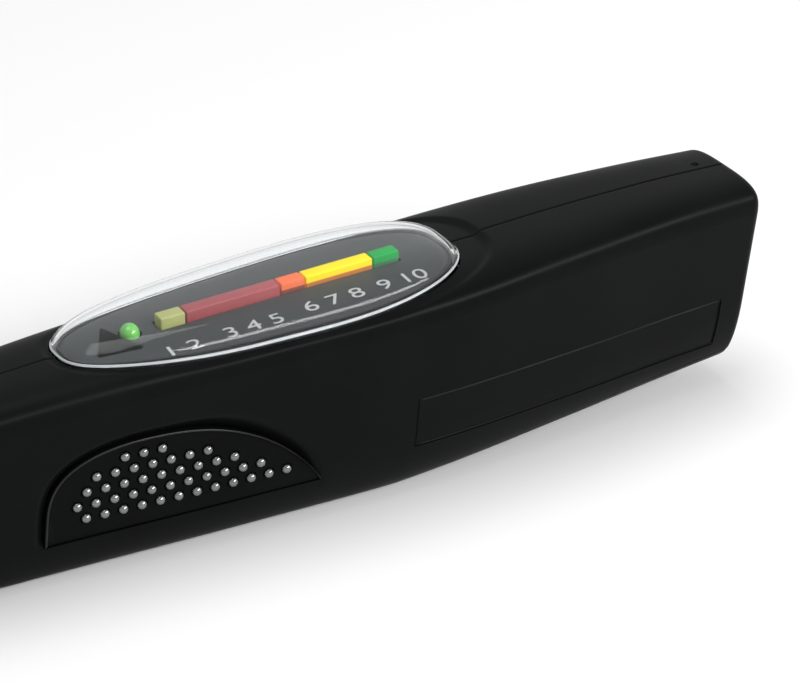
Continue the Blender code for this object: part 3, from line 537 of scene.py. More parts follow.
label = dict(start=0.0056, end=0.0638, low=0.0086, high=0.0173, steps=(70, 12), below=0.00012,
             thick=0.0004, gap=0.00012, under=0.0001, cutPast=0.003, crest=0.00013, edge=0.00016)


def labelPlaces(low, high, count):
    # evenly spaced places, with three close together at each end
    edge = label["edge"]
    inner = [low + 2 * edge + (high - low - 4 * edge) * i / count for i in range(count + 1)]
    return [low, low + edge, *inner, high - edge, high]


def labelPatch(name, margin, outer, inner, crest=0.0):
    # the label's patch of the near side's skin, between two depths
    steps = label["steps"]
    places = labelPlaces(label["start"] - margin, label["end"] + margin, steps[0])
    heights = labelPlaces(label["low"] - margin, label["high"] + margin, steps[1])
    rows = []
    for i, t in enumerate(places):
        row = []
        for depth, order in ((outer, 1), (inner, -1)):
            for k, z in list(enumerate(heights))[::order]:
                ridge = i in (1, len(places) - 2) or k in (1, len(heights) - 2)
                extra = crest if depth == outer and ridge else 0
                row.append((xAt(t + leanBack(t, z)), -(sideAt(t, z) - depth + extra), z))
        rows.append(row)
    return skinOf(name, rows)


nose = dict(radius=0.0038, length=0.008)
dimple = dict(place=0.0052, off=0.0018, radius=0.0008, rise=0.0004)
door = dict(length=0.0610, width=0.0124, thick=0.0015, rear=0.0067, rowStep=0.0015,
            slope=atan2(body["underRise"], body["underReach"]), grooves=7, firstGroove=-0.012,
            pitch=0.0018, groove=(0.0004, 0.0042, 0.003, 0.00045))
tray = dict(start=0.0165, end=0.066113, half=0.00565, top=0.011)
button = dict(
    place=0.138, length=0.0110, width=0.0062, power=2.6, steps=64, holeDeep=0.006,
    levels=((0.0007, -0.0031), (0.0007, -0.0023), (0, -0.0023), (0, 0.0003),        # grow, lift
            (-0.0001, 0.00055), (-0.0003, 0.00072), (-0.0006, 0.0008)),
    dips=((0.75, 0.0002), (0.5, 0.00032), (0.25, 0.00038), (0.0, 0.0004)),        # share, dip
    under=0.0010, postRadius=0.0014, postTall=0.0022, postUp=0.0007,
    ringRadius=0.0012, ringWire=0.00016, ringRise=0.00045,
)
screw = dict(headRadius=0.0017, headTall=0.0012, radius=0.0009, long=0.0120, sink=0.0004,
             dome=((0.0012, 0.0012), (0.0015, 0.00105), (0.0017, 0.0007)), play=0.00025,
             threads=9, firstThread=-0.0012, pitch=0.0011, root=0.84, half=0.0003,
             pointRadius=0.0004, pointTall=0.0002, cross=(0.0019, 0.00042, 0.0011),
             crossTurn=0.35, spread=0.5)


def screwPlaces():
    for number in range(1, 5):
        x, _, z = middleOf(*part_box("case_screw_%d" % number))
        yield body["overall"] / 2 - x, z


def screwSeat(t, z):
    return sideAt(t, z) - screw["headTall"] - screw["sink"]


def bayBox(name, low, high):
    # a block square to the sloping underside
    piece = settled(block(name, middleOf(low, high), sizeOf(low, high)))
    corner = Matrix.Translation((xAt(0), 0, body["underRise"]))
    piece.data.transform(corner @ Matrix.Rotation(-door["slope"], 4, "Y"))
    return piece


def gripBlock(name, side, grow, low, high):
    return skinOf(name, [gripRow(side, depth, grow) for depth in (low, high)])


def buttonOutline(grow=0.0):
    points = []
    for i in range(button["steps"]):
        u, v = ovalPoint(2 * pi * i / button["steps"], button["power"])
        points.append((button["place"] + (button["length"] / 2 + grow) * u,
                       (button["width"] / 2 + grow) * v))
    return points


def caseHalf(name, side):
    shell = halfBody(name, side)
    gap, past = body["gap"], body["cutPast"]
    carve(shell, wholeBody("hollow", body["wall"], body["wideStep"]))
    carve(shell, gripBlock("backing", side, *grip["backing"]), "UNION")
    carve(shell, columnOf("opening", windowOutline(1, gap), -window["ledge"], past))
    carve(shell, columnOf("buttonHole", buttonOutline(gap), -button["holeDeep"], past))
    front = (xAt(body["shell"]), 0, probeHeight)
    carve(shell, rod("noseHole", nose["radius"], nose["length"], front, alongX, 64))
    half = door["width"] / 2 + gap
    carve(shell, bayBox("doorHole", (-door["length"] - gap, -half, -past),
                        (door["rear"] + gap, half, door["thick"] + gap)))
    carve(shell, bayBox("bayHole", (-tray["end"], -tray["half"], door["thick"]),
                        (-tray["start"], tray["half"], tray["top"])))
    carve(shell, gripBlock("pocket", side, *grip["pocket"]))
    if side < 0:
        deep = label["below"] + label["thick"] + label["under"]
        carve(shell, labelPatch("labelHole", label["gap"], -label["cutPast"], deep))
        return shell
    t = dimple["place"]
    carve(shell, fresh("dimple", bpy.ops.mesh.primitive_uv_sphere_add, segments=24, ring_count=16,
                       radius=dimple["radius"],
                       location=(xAt(t), dimple["off"], topLine(t) + dimple["rise"])))
    for t, z in screwPlaces():
        seat = screwSeat(t, z)
        for radius, low, high in ((screw["headRadius"], seat - gap, seat + past),
                                  (screw["radius"], seat - past, seat)):
            carve(shell, rod("screwHole", radius + screw["play"], high - low,
                             (xAt(t), (low + high) / 2, z), alongY))
    return shell


def newMaterial(name):
    material = bpy.data.materials.new(name)
    material.use_nodes = True
    tree = material.node_tree
    coords = newNode(tree, "TexCoord").outputs["Object"]
    return material, tree, coords, tree.nodes["Principled BSDF"]


def newNode(tree, kind, **sockets):
    node = tree.nodes.new("ShaderNode" + kind)
    setSockets(tree, node, **sockets)
    return node


def setSockets(tree, node, **sockets):
    # a value is set, another node's output is linked
    for name, value in sockets.items():
        socket = node.inputs[name.replace("_", " ")]
        if isinstance(value, bpy.types.NodeSocket):
            tree.links.new(value, socket)
        else:
            socket.default_value = value


def noiseOf(tree, coords, scale, detail=3.0, stretch=(1, 1, 1), roughness=0.5):
    mapping = newNode(tree, "Mapping", Vector=coords, Scale=stretch)
    return newNode(tree, "TexNoise", Vector=mapping.outputs["Vector"], Scale=scale,
                   Detail=detail, Roughness=roughness).outputs["Fac"]


def rangeOf(tree, value, low, high, bottom, top):
    return newNode(tree, "MapRange", Value=value, From_Min=low, From_Max=high, To_Min=bottom,
                   To_Max=top).outputs["Result"]


def mathOf(tree, operation, first, second):
    total = newNode(tree, "Math")
    total.operation = operation
    tree.links.new(first, total.inputs[0])
    tree.links.new(second, total.inputs[1])
    return total


def bumpOf(tree, height, strength, distance):
    bump = newNode(tree, "Bump", Height=height, Strength=strength, Distance=distance)
    return bump.outputs["Normal"]


# where each noise begins and stops to count, and how the scratches are drawn out
worn = dict(blotch=(0.3, 0.7), scratch=(0.60, 0.72), tint=(0.35, 0.65), haze=(0.60, 0.80),
            finer=9, streaks=(0.25, 2.5, 2.0), hazeStreaks=(0.3, 2.0, 2.0))


def surface(name, colour, rough, metal=0.0, grain=4000, bump=0.15, deep=0.00003, wear=0.08,
            tint=0.15, patch=70, scuff=0.12, stretch=(1, 1, 1), gloss=0.5, **sockets):
    # moulded grain or brushing in the bump, handling marks in the roughness, a slight tint
    material, tree, coords, shader = newMaterial(name)
    blotch = noiseOf(tree, coords, patch, 5.0)
    fine = noiseOf(tree, coords, grain, 2.0, stretch)
    scratch = noiseOf(tree, coords, patch * worn["finer"], 6.0, worn["streaks"], 0.75)
    marks = rangeOf(tree, scratch, *worn["scratch"], 0.0, scuff)
    even = rangeOf(tree, blotch, *worn["blotch"], rough - wear, rough + wear)
    total = mathOf(tree, "ADD", even, marks)
    total.use_clamp = True
    mix = newNode(tree, "Mix")
    mix.data_type = "RGBA"
    setSockets(tree, mix, A=(*(c * (1 - tint) for c in colour), 1),
               B=(*(min(1, c * (1 + tint)) for c in colour), 1),
               Factor=rangeOf(tree, blotch, *worn["tint"], 0, 1))
    setSockets(tree, shader, Base_Color=mix.outputs["Result"], Roughness=total.outputs["Value"],
               Normal=bumpOf(tree, fine, bump, deep), Metallic=metal, Specular_IOR_Level=gloss,
               **sockets)
    return material


finishes = dict(
    case_black=surface("caseBlack", (0.0032, 0.0035, 0.0037), 0.38, grain=5200, bump=0.30,
                       wear=0.05, gloss=0.045),
    grip_black=surface("gripBlack", (0.0030, 0.0032, 0.0033), 0.42, grain=3800, bump=0.5,
                       deep=0.00004, gloss=0.035),
    rim_black=surface("rimBlack", (0.0060, 0.0064, 0.0066), 0.34, grain=5200, bump=0.2,
                      gloss=0.30),
    label_black=surface("labelBlack", (0.0032, 0.0035, 0.0036), 0.38, grain=7000, bump=0.3,
                        gloss=0.05),
    button_black=surface("buttonBlack", (0.010, 0.0105, 0.011), 0.45, grain=4200, bump=0.5,
                         gloss=0.2),
    plate_grey=surface("plateGrey", (0.046, 0.051, 0.053), 0.40, grain=6000, bump=0.2, tint=0.06,
                       gloss=0.15),
    bar_colour_1=surface("barGreen", (0.0, 0.34, 0.055), 0.4, tint=0.05, gloss=0.05),
    bar_colour_2=surface("barYellow", (1.0, 0.76, 0.0), 0.4, tint=0.03, gloss=0.05),
    bar_colour_3=surface("barOrange", (0.88, 0.17, 0.06), 0.4, tint=0.05, gloss=0.05),
    bar_colour_4=surface("barRed", (0.32, 0.062, 0.070), 0.42, tint=0.12, gloss=0.2),
    bar_colour_5=surface("barPale", (0.40, 0.42, 0.15), 0.42, tint=0.10, gloss=0.2),
    # painted shade: darker copies of the bar colours, for the strips along the blocks' foot
    foot_colour_1=surface("paintedShadeGreen", (0.04, 0.17, 0.085), 0.45, tint=0.10, gloss=0.1),
    foot_colour_2=surface("paintedShadeAmber", (0.52, 0.17, 0.035), 0.45, gloss=0.1),
    foot_colour_3=surface("paintedShadeRust", (0.20, 0.055, 0.035), 0.45, gloss=0.1),
    led_green=surface("ledGreen", (0.16, 0.52, 0.10), 0.12, grain=900, bump=0.05,
                      Subsurface_Weight=0.4, Subsurface_Scale=0.0006),
    board_green=surface("boardGreen", (0.012, 0.11, 0.05), 0.35, grain=2600, bump=0.35),
    black_plastic=surface("blackPlastic", (0.012, 0.012, 0.013), 0.5, grain=4500, bump=0.35,
                          gloss=0.3),
    white_plastic=surface("whitePlastic", (0.74, 0.74, 0.71), 0.42, grain=4500, bump=0.2,
                          tint=0.04),
    steel=surface("brushedSteel", (0.60, 0.60, 0.585), 0.30, 1.0, grain=2500, bump=0.25,
                  stretch=(6, 1, 1), tint=0.08),
    chrome=surface("studChrome", (0.22, 0.225, 0.228), 0.19, 1.0, grain=1500, bump=0.05,
                   wear=0.04, tint=0.08, scuff=0.05),
    copper=surface("tipCopper", (0.72, 0.36, 0.20), 0.24, 1.0, grain=3000, bump=0.2,
                   stretch=(1, 6, 6)),
    cell_wrap=surface("cellWrap", (0.05, 0.075, 0.13), 0.30, 0.35, grain=1200, bump=0.08),
    # painted highlight: a pale, part-clear finish for the lens's lip, standing in for the bright
    # line along the lens's edge
    painted_highlight_edge=surface("paintedHighlightEdge", (0.66, 0.69, 0.70), 0.14, grain=2500, bump=0.05, tint=0.03,
                       Transmission_Weight=0.6),
    legend_ink=surface("legendInk", (0.44, 0.46, 0.46), 0.5, grain=7000, tint=0.05),
)
for hue, colour in (("red", (0.50, 0.022, 0.020)), ("black", (0.012, 0.012, 0.012)),
                    ("white", (0.66, 0.66, 0.63))):
    finishes["lead_" + hue] = surface("lead" + hue.title(), colour, 0.45, grain=2500, bump=0.2)


clear = dict(wave=60, grain=900, rough=(0.03, 0.04), bump=(0.004, 0.0001), index=1.22,
             colour=(0.97, 0.985, 0.99, 1))


def clearPlastic():
    material, tree, coords, shader = newMaterial("clearPlastic")
    wave = noiseOf(tree, coords, clear["wave"], 1.0)
    haze = noiseOf(tree, coords, clear["grain"], 6.0, worn["hazeStreaks"], 0.7)
    setSockets(tree, shader, Roughness=rangeOf(tree, haze, *worn["haze"], *clear["rough"]),
               Normal=bumpOf(tree, wave, *clear["bump"]), Base_Color=clear["colour"],
               Transmission_Weight=1.0, IOR=clear["index"])
    return material


finishes["clear_plastic"] = clearPlastic()
for row in frame["record"]["subparts"]:
    for place in frame["nodes"][row["node"]].material_slots:
        place.material = finishes[row["material_slot"]]
print("finishes ready")

shells = []
for hand, side in (("right", -1), ("left", 1)):
    shells.append(caseHalf(hand + "Case", side))
    finishPiece(shells[-1], "case_black", hand + "_shell")
print("case halves", *(len(shell.data.polygons) for shell in shells))


# from the middle of the dome to its edge
lensShares = (0.0, 0.15, 0.3, 0.45, 0.58, 0.68, 0.76, 0.82, 0.865, 0.90, 0.925, 0.945, 0.962,
              0.976, 0.987, 0.995, 1.0)


def lensRow(share, grow, depth):
    rise = window["rise"] * sqrt(max(0, 1 - share ** window["edgePower"]))
    return crownRow(windowOutline(share, grow, window["steps"]), rise - depth)


def clearLens():
    wall, dome = window["wall"], window["domeWall"]
    rows = [lensRow(share, 0, 0) for share in lensShares]
    for grow in (0, -wall):        # the foot, on its ledge
        rows.append(topRow(windowOutline(1, grow, window["steps"]),
                           body["gap"] - window["ledge"]))
    rows += [lensRow(1, -wall, window["wallTop"]), lensRow(1, -dome, window["domeEdge"])]
    rows += [lensRow(share, -dome * share, dome) for share in lensShares[:-3][::-1]]
    piece = skinOf("windowLens", rows, holes=False)
    piece.visible_shadow = False        # the clear cover lets the lamps through to the plate
    piece.visible_diffuse = False
    finishPiece(piece, "clear_plastic", "window_lens", angle=50)


lensLip = dict(radius=0.00019, inside=0.00008, rise=0.00016, sides=12, steps=160)
plateSeal = dict(clear=0.00005, land=0.00003, low=-0.0016, high=-0.00012)


def ringOf(name, section):
    # a ring round the window: (outwards from the lens's outline, height above the crown) points
    rows = [crownRow(windowOutline(1, grow, lensLip["steps"]), up)
            for grow, up in section + section[:1]]
    return skinOf(name, rows, holes=False)


def windowRings():
    radius, sides = lensLip["radius"], lensLip["sides"]
    angles = [2 * pi * k / sides for k in range(sides)]
    # a clear lip round the lens, with a painted highlight in its pale finish
    lip = ringOf("lensLip", [(radius * cos(a) - lensLip["inside"],
                              lensLip["rise"] + radius * sin(a)) for a in angles])
    lip.visible_shadow = False
    finishPiece(lip, "clear_plastic", finish="painted_highlight_edge", angle=60)
    outer = -window["wall"] - plateSeal["clear"]
    inner = -window["wall"] - body["gap"] + plateSeal["land"]
    low, high = plateSeal["low"], plateSeal["high"]
    seal = ringOf("plateSeal", [(inner, low), (outer, low), (outer, high), (inner, high)])
    finishPiece(seal, "black_plastic")


plate = dict(below=0.0002, thick=0.0012, edge=0.00015, steps=128, cutHeight=0.035,
             slotPast=0.0003, slotWide=0.0029, slotTall=0.012, slotSoft=0.0002,
             ledHole=0.0018, ledHoleTall=0.02,
             shares=(0.0, 0.15, 0.3, 0.45, 0.6, 0.72, 0.82, 0.9, 0.96, 0.99, 1.0))


def plateTop(t, y=0.0):
    return crownAt(t, y) - plate["below"]


def legendPlate():
    inset = -window["wall"] - body["gap"]
    rows = []
    for depth, order in ((0, 1), (plate["thick"], -1)):
        for share in plate["shares"][::order]:
            edge = plate["edge"] if share == 1.0 and depth == 0 else 0
            rows.append(crownRow(windowOutline(share, inset * share, plate["steps"]),
                                 -plate["below"] - depth - edge))
    piece = skinOf("legendPlate", rows, holes=False)
    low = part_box("bar_segment_5")[0][0] - plate["slotPast"]
    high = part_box("bar_segment_1")[1][0] + plate["slotPast"]
    slot = block("barSlot", ((low + high) / 2, 0, plate["cutHeight"]),
                 (high - low, plate["slotWide"], plate["slotTall"]))
    softEdges(slot, plate["slotSoft"])
    carve(piece, slot)
    place = (middleOf(*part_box("ready_led"))[0], 0, plate["cutHeight"])
    carve(piece, rod("ledHole", plate["ledHole"], plate["ledHoleTall"], place, sides=48))
    finishPiece(piece, "plate_grey", "display_plate")


# lifts off the plate; a block keeps its own bottom
lightBlock = dict(top=0.00155, bottom=None, longer=0, wider=0, soft=0.00022, segments=3)
# painted shade strip: a thin, slightly wider block along each rear block's foot
paintedShadeStrip = dict(top=0.00055, bottom=-0.0004, longer=-0.00006, wider=0.00008, soft=0.00012,
                 segments=2)


def barPiece(kind, look, number, *nodes, finish=None):
    low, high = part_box("bar_segment_%d" % number)
    middle, size = middleOf(low, high), sizeOf(low, high)
    size[0] += look["longer"]
    size[1] += look["wider"]
    piece = settled(block("%s%d" % (kind, number), middle, size))
    for vertex in piece.data.vertices:        # top and bottom follow the plate
        lift = look["top"] if vertex.co.z > middle[2] else look["bottom"]
        if lift is not None:
            vertex.co.z = plateTop(xAt(0) - vertex.co.x) + lift
    softEdges(piece, look["soft"], look["segments"])
    finishPiece(piece, "bar_colour_%d" % number, *nodes, finish=finish)


def lightBar():
    for number in range(1, 6):
        barPiece("lightBlock", lightBlock, number, "bar_segment_%d" % number)
    for number in (1, 2, 3):        # painted shade: a darker strip along the foot of the three rear blocks
        barPiece("paintedShadeStrip", paintedShadeStrip, number, finish="foot_colour_%d" % number)


led = dict(radius=0.0015, neck=0.001, steps=12)


def readyLight():
    low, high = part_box("ready_led")
    middle = (low[0] + high[0]) / 2
    radius, foot = led["radius"], high[0] - middle
    profile = [(radius * sin(a), high[2] - radius * (1 - cos(a))) for a in quarter(led["steps"])]
    neck = low[2] + led["neck"]
    profile += [(radius, neck), (foot, neck), (foot, low[2]), (0, low[2])]
    piece = turnedPiece("readyLight", profile)
    piece.data.transform(Matrix.Translation((middle, 0, 0)))
    finishPiece(piece, "led_green", "ready_led")


legendMarks = (        # scale numbers, from and to along the plate, from and to across it
    ("1 2", 0.0978, 0.1030, -0.0083, -0.0061),
    ("3 4 5", 0.0843, 0.0937, -0.0082, -0.0057),
    ("6 7 8", 0.0703, 0.0802, -0.0077, -0.0051),
    ("9 10", 0.0595, 0.0676, -0.0077, -0.0051),
)
ink = dict(thick=0.00003, lift=0.0001)
# corners, rounding, thickness and lift of the painted shadow film
shade = dict(corners=((0.1087, 0.0039), (0.1056, -0.0046), (0.1128, -0.0037)),
             round=0.0006, thick=0.00006, lift=0.00002)


def onPlate(piece, lift):
    for vertex in piece.data.vertices:
        x, y, z = vertex.co
        vertex.co.z = plateTop(xAt(0) - x, y) + lift + z


def legend():
    marks = []
    for numbers, near, far, low, high in legendMarks:
        text = fresh("scaleNumbers", bpy.ops.object.text_add, location=(0, 0, 0))
        text.data.body = numbers
        text.data.size = 1
        pick(text)
        bpy.ops.object.convert(target="MESH")
        mark = named("scaleNumbers")
        xs, ys, _ = zip(*mark.bound_box)
        start = Matrix.Translation((-min(xs), -min(ys), 0))
        size = Matrix.Diagonal(((far - near) / (max(xs) - min(xs)),
                                (high - low) / (max(ys) - min(ys)), 1, 1))
        mark.data.transform(Matrix.Translation((xAt(far), low, 0)) @ size @ start)
        modified(mark, "SOLIDIFY", thickness=ink["thick"])
        onPlate(mark, ink["lift"])
        marks.append(mark)
    pick(*marks)
    bpy.ops.object.join()
    finishPiece(named("legendMarks"), "white_plastic", finish="legend_ink")


def paintedShadowFilm():
    # painted shadow: a dark three-cornered film on the plate beside the ready light, standing in
    # for a shadow
    film = fresh("paintedShadowFilm", bpy.ops.mesh.primitive_circle_add, vertices=3, radius=0.004,
                 fill_type="NGON", location=(0, 0, 0))
    for vertex, (t, y) in zip(film.data.vertices, shade["corners"]):
        vertex.co = (xAt(t), y, 0)
    modified(film, "BEVEL", affect="VERTICES", width=shade["round"], segments=4)
    editAll()
    bpy.ops.mesh.extrude_region_move(TRANSFORM_OT_translate={"value": (0, 0, shade["thick"])})
    bpy.ops.object.mode_set(mode="OBJECT")
    onPlate(film, shade["lift"])
    tidyMesh(film)
    finishPiece(film, "black_plastic", finish="case_black")


clearLens()
windowRings()
legendPlate()
lightBar()
readyLight()
legend()
paintedShadowFilm()
print("window built")


stud = dict(radius=0.00084, rise=0.00072, hole=0.00094, holeDeep=0.003, cut=0.0001, stem=0.0006,
            pitch=0.00293, rowPitch=0.00240, firstRow=0.0043, firstBack=0.0185,
            rows=((0, 12), (3, 11), (6, 9), (9, 7), (14, 3)),        # half pitches in, studs
            near=0.0005,        # to the points that give the skin's slope
            base=(0.0001, 0.0003, 0.0009),        # below the pad, thickness, inset
            baseShares=(0.0, 0.35, 0.7, 1.0))
pad = dict(
    backShares=(0.0, 0.3, 0.6, 0.85, 1.0), faceShares=(0.95, 0.85, 0.7, 0.5, 0.3, 0.1, 0.0),
    wall=0.0006, inset=0.00062, fadeFrom=0.0008, fadeOver=0.004,
    lip=((0.00002, 0.00022), (0.00009, 0.00009), (0.00022, 0.00002), (0.00036, 0.00006),
         (0.00048, 0.00018)),        # inset, depth
)
rim = dict(inset=0.00018, depth=0.00004, radius=0.00020, sides=8)


def studPlaces():
    for row, (halves, count) in enumerate(stud["rows"]):
        v = -stud["firstRow"] + row * stud["rowPitch"]
        for i in range(count):
            yield -stud["firstBack"] + (halves / 2 + i) * stud["pitch"], v


def gripPad(name, side, node):
    below, back, inset = grip["padBelow"], grip["padBelow"] + grip["padThick"], pad["inset"]
    rows = [gripRow(side, back, scale=share) for share in pad["backShares"]]
    rows.append(gripRow(side, pad["wall"]))
    for inward, depth in (*pad["lip"], (inset, below)):
        row = []
        for s, v in gripOutline(-inward):
            fade = smooth((v + grip["drop"] - pad["fadeFrom"]) / pad["fadeOver"])
            row.append(gripPoint(s, v, side, below + (depth - below) * fade))
        rows.append(row)
    rows += [gripRow(side, below, -inset, share) for share in pad["faceShares"]]
    piece = skinOf(name, rows, holes=False)
    holes = [rod("studHole", stud["hole"], stud["holeDeep"], gripPoint(s, v, side, below),
                 alongY, 20) for s, v in studPlaces()]
    pick(*holes)
    bpy.ops.object.join()
    carve(piece, named("studHoles"))
    finishPiece(piece, "grip_black", node)


def gripRim(name, side):
    # a fine raised bead along the pad's arched edge
    archPoints = grip["rearSteps"] + 1 + grip["frontSteps"]
    radius, rows = rim["radius"], []
    for k in range(rim["sides"] + 1):
        a = 2 * pi * k / rim["sides"]
        grow, depth = -rim["inset"] + radius * cos(a), rim["depth"] - radius * sin(a)
        rows.append(gripRow(side, depth, grow)[:archPoints])
    finishPiece(skinOf(name, rows, wrap=False), "grip_black", finish="rim_black", angle=60)


def studModel():
    # a ball bisected flat below, its foot drawn down into a short stem
    model = fresh("studModel", bpy.ops.mesh.primitive_uv_sphere_add, segments=20, ring_count=14,
                  radius=stud["radius"])
    editAll()
    bpy.ops.mesh.bisect(plane_co=(0, 0, -stud["cut"]), plane_no=(0, 0, 1), clear_inner=True,
                        use_fill=True)
    bpy.ops.mesh.extrude_region_move(TRANSFORM_OT_translate={"value": (0, 0, -stud["stem"])})
    tidyMesh(model)
    return model


def studs(name, side, node):
    model, copies = studModel(), []
    for s, v in studPlaces():
        here, ahead, above = (Vector(gripPoint(s + ds, v + dv, side, grip["padBelow"]))
                              for ds, dv in ((0, 0), (stud["near"], 0), (0, stud["near"])))
        out = (ahead - here).cross(above - here).normalized()
        if out.y * side < 0:
            out = -out
        turn = Vector((0, 0, 1)).rotation_difference(out).to_matrix().to_4x4()
        place = Matrix.Translation(here + out * (stud["rise"] - stud["radius"]))
        copies.append(copyOf(model, "stud", place @ turn))
    bpy.data.objects.remove(model)
    below, thick, inset = stud["base"]
    back = grip["padBelow"] + grip["padThick"] + below
    rows = [gripRow(side, depth, -inset, share)
            for depth, order in ((back, 1), (back + thick, -1))
            for share in stud["baseShares"][::order]]
    pick(skinOf("studBase", rows, holes=False), *copies)
    bpy.ops.object.join()
    finishPiece(named(name), "chrome", node)


for hand, side in (("right", -1), ("left", 1)):
    gripPad(hand + "GripPad", side, hand + "_grip_pad")
    gripRim(hand + "GripRim", side)
    studs(hand + "Studs", side, hand + "_stud_plate")
print("grips built")


def powerButton():
    middle, low = button["place"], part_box("power_button")[0]
    rows = [[(xAt(middle), 0, low[2] + button["under"])] * button["steps"]]
    rows += [topRow(buttonOutline(grow), lift) for grow, lift in button["levels"]]
    grow, rise = button["levels"][-1]
    for share, dip in button["dips"]:        # a shallow dish for the finger
        rows.append(topRow([(middle + (t - middle) * share, y * share)
                            for t, y in buttonOutline(grow)], rise - dip))
    piece = skinOf("powerButton", rows, holes=False)
    post = (xAt(middle), 0, low[2] + button["postTall"] / 2 + button["postUp"])
    carve(piece, rod("post", button["postRadius"], button["postTall"], post), "UNION")
    # a raised ring marks the middle by touch
    ring = fresh("touchRing", bpy.ops.mesh.primitive_torus_add, major_segments=40,
                 minor_segments=10, major_radius=button["ringRadius"],
                 minor_radius=button["ringWire"],
                 location=(xAt(middle), 0, topLine(middle) + button["ringRise"]))
    carve(piece, ring, "UNION")
    finishPiece(piece, "button_black", "power_button", rider="button")


def batteryDoor():
    piece = wholeBody("batteryDoor", 0.0, door["rowStep"])
    half = door["width"] / 2
    carve(piece, bayBox("doorBlock", (-door["length"], -half, -body["cutPast"]),
                        (door["rear"], half, door["thick"])), "INTERSECT")
    halfWide, halfLong, low, high = door["groove"]
    for i in range(door["grooves"]):        # finger grooves across the outside
        x = door["firstGroove"] - door["pitch"] * i
        carve(piece, bayBox("groove", (x - halfWide, -halfLong, -low),
                            (x + halfWide, halfLong, high)))
    finishPiece(piece, "case_black", "battery_door", rider="door")


def screwModel():
    tall, wide, radius = screw["headTall"], screw["headRadius"], screw["radius"]
    profile = [(0, tall), *screw["dome"], (wide, 0.0), (radius, 0.0)]
    for i in range(screw["threads"]):
        z = screw["firstThread"] - i * screw["pitch"]
        root = radius * screw["root"]
        profile += [(root, z + screw["half"]), (radius, z), (root, z - screw["half"])]
    profile += [(screw["pointRadius"], -screw["long"] + screw["pointTall"]), (0, -screw["long"])]
    model = turnedPiece("screwModel", profile, 32)
    for turn in (0, pi / 2):        # cross recess
        carve(model, block("cross", (0, 0, tall), screw["cross"],
                           (0, 0, turn + screw["crossTurn"])))
    return model


def caseScrews():
    model = screwModel()
    for number, (t, z) in enumerate(screwPlaces(), 1):
        place = Matrix.Translation((xAt(t), screwSeat(t, z), z))
        turn = Matrix.Rotation(-pi / 2, 4, "X") @ Matrix.Rotation(screw["spread"] * number, 4, "Z")
        piece = copyOf(model, "caseScrew%d" % number, place @ turn)
        finishPiece(piece, "steel", "case_screw_%d" % number)
    bpy.data.objects.remove(model)


face = label["below"]
finishPiece(labelPatch("labelPanel", 0, face, face + label["thick"], label["crest"]),
            "label_black", "label_plate")
powerButton()
batteryDoor()
caseScrews()
print("small case pieces built")


# places along the probe from the body's rear; the last four follow each other
probeAt = dict(rear=0.128, rearWall=0.129, chamber=0.147, sleeveStart=0.1405, cap=body["overall"],
             neck=body["shell"] - body["wall"] - body["gap"], barrel=body["shell"] + body["gap"])
reached = probeAt["barrel"]
for name, length in (("cone", 0.0062), ("mouth", 0.0050), ("sleeve", 0.0035), ("tip", 0.0034)):
    reached += length
    probeAt[name] = reached
# each profile: a place, then its points as radius and how much further along
barrelProfile = (
    ("mouth", (0.0021, 0), (0.0025, 0), (0.0027, -0.0002)),
    ("cone", (0.00445, 0.0002), (0.0046, -0.0001)),
    ("barrel", (0.0046, 0.0030), (0.0045, 0.0029), (0.0045, 0.0026), (0.0046, 0.0025),
     (0.0046, 0.0001), (0.0045, 0), (0.0035, 0)),
    ("neck", (0.0035, 0), (0.0043, 0)), ("rear", (0.0043, 0), (0.0017, 0)),
    ("rearWall", (0.0017, 0), (0.0035, 0)), ("chamber", (0.0035, 0), (0.0019, 0)),
    ("mouth", (0.0019, -0.0002)),
)
sleeveProfile = (("sleeve", (0.0010, 0), (0.00145, 0), (0.0016, -0.00015)),
                 ("sleeveStart", (0.0016, 0), (0.0010, 0)))
tipProfile = (
    ("tip", (0, 0), (0.00018, -0.00003), (0.00032, -0.00013), (0.00042, -0.0005)),
    ("sleeve", (0.00068, 0.0012), (0.00072, 0.0009), (0.00072, -0.012), (0, -0.012)),
)
capMouth = (("barrel", (0.0060, 0.0002), (0.00585, 0), (0.0050, 0), (0.0049, 0.0001)),
            ("cap", (0.0044, -0.0028), (0.0034, -0.0010), (0, -0.0010)))
cap = dict(mouth=0.0060, front=0.0054, round=0.0028, rings=4, firstRing=0.0085, pitch=0.0014,
           ringDeep=0.00022, ringRows=(0.0003, 0.0001, -0.0002, -0.0004))
spring = dict(turns=6, pointsPerTurn=24, wire=0.0003, travel=0.0015)
lead = dict(steps=12, radius=0.0005)


def placed(profile):
    return [(radius, probeAt[place] + further)
            for place, *points in profile for radius, further in points]


def turnedProbe(name, profile, steps, *looks, rider="case"):
    # the profile's heights are distances from the rear, on the probe's axis
    piece = turnedPiece(name, profile, steps)
    turn = Matrix.Rotation(-pi / 2, 4, "Y")
    piece.data.transform(Matrix.Translation((xAt(0), 0, probeHeight)) @ turn)
    finishPiece(piece, *looks, rider=rider)


def probeCap():
    total, wide, size = probeAt["cap"], cap["front"], cap["round"]
    flank, start = total - size, probeAt["barrel"]
    profile = [(0, total)]
    profile += [(wide - size * (1 - sin(a)), flank + size * cos(a)) for a in quarter(10)]
    for i in range(cap["rings"]):        # finger rings near the mouth
        ring = start + cap["firstRing"] - cap["pitch"] * i
        high = wide + (cap["mouth"] - wide) * (flank - ring) / (flank - start)
        low = high - cap["ringDeep"]
        profile += [(radius, ring + ahead)
                    for radius, ahead in zip((high, low, low, high), cap["ringRows"])]
    profile += placed(capMouth)
    turnedProbe("probeCap", profile, 72, "case_black", "probe_cap", rider="cap")


def probePieces():
    turnedProbe("probeBarrel", placed(barrelProfile), 64, "black_plastic", "probe_housing")
    turnedProbe("probeSleeve", placed(sleeveProfile), 40, "steel", "probe_sleeve", rider="probe")
    turnedProbe("probeTip", placed(tipProfile), 32, "copper", "probe_tip", rider="probe")
    probeCap()


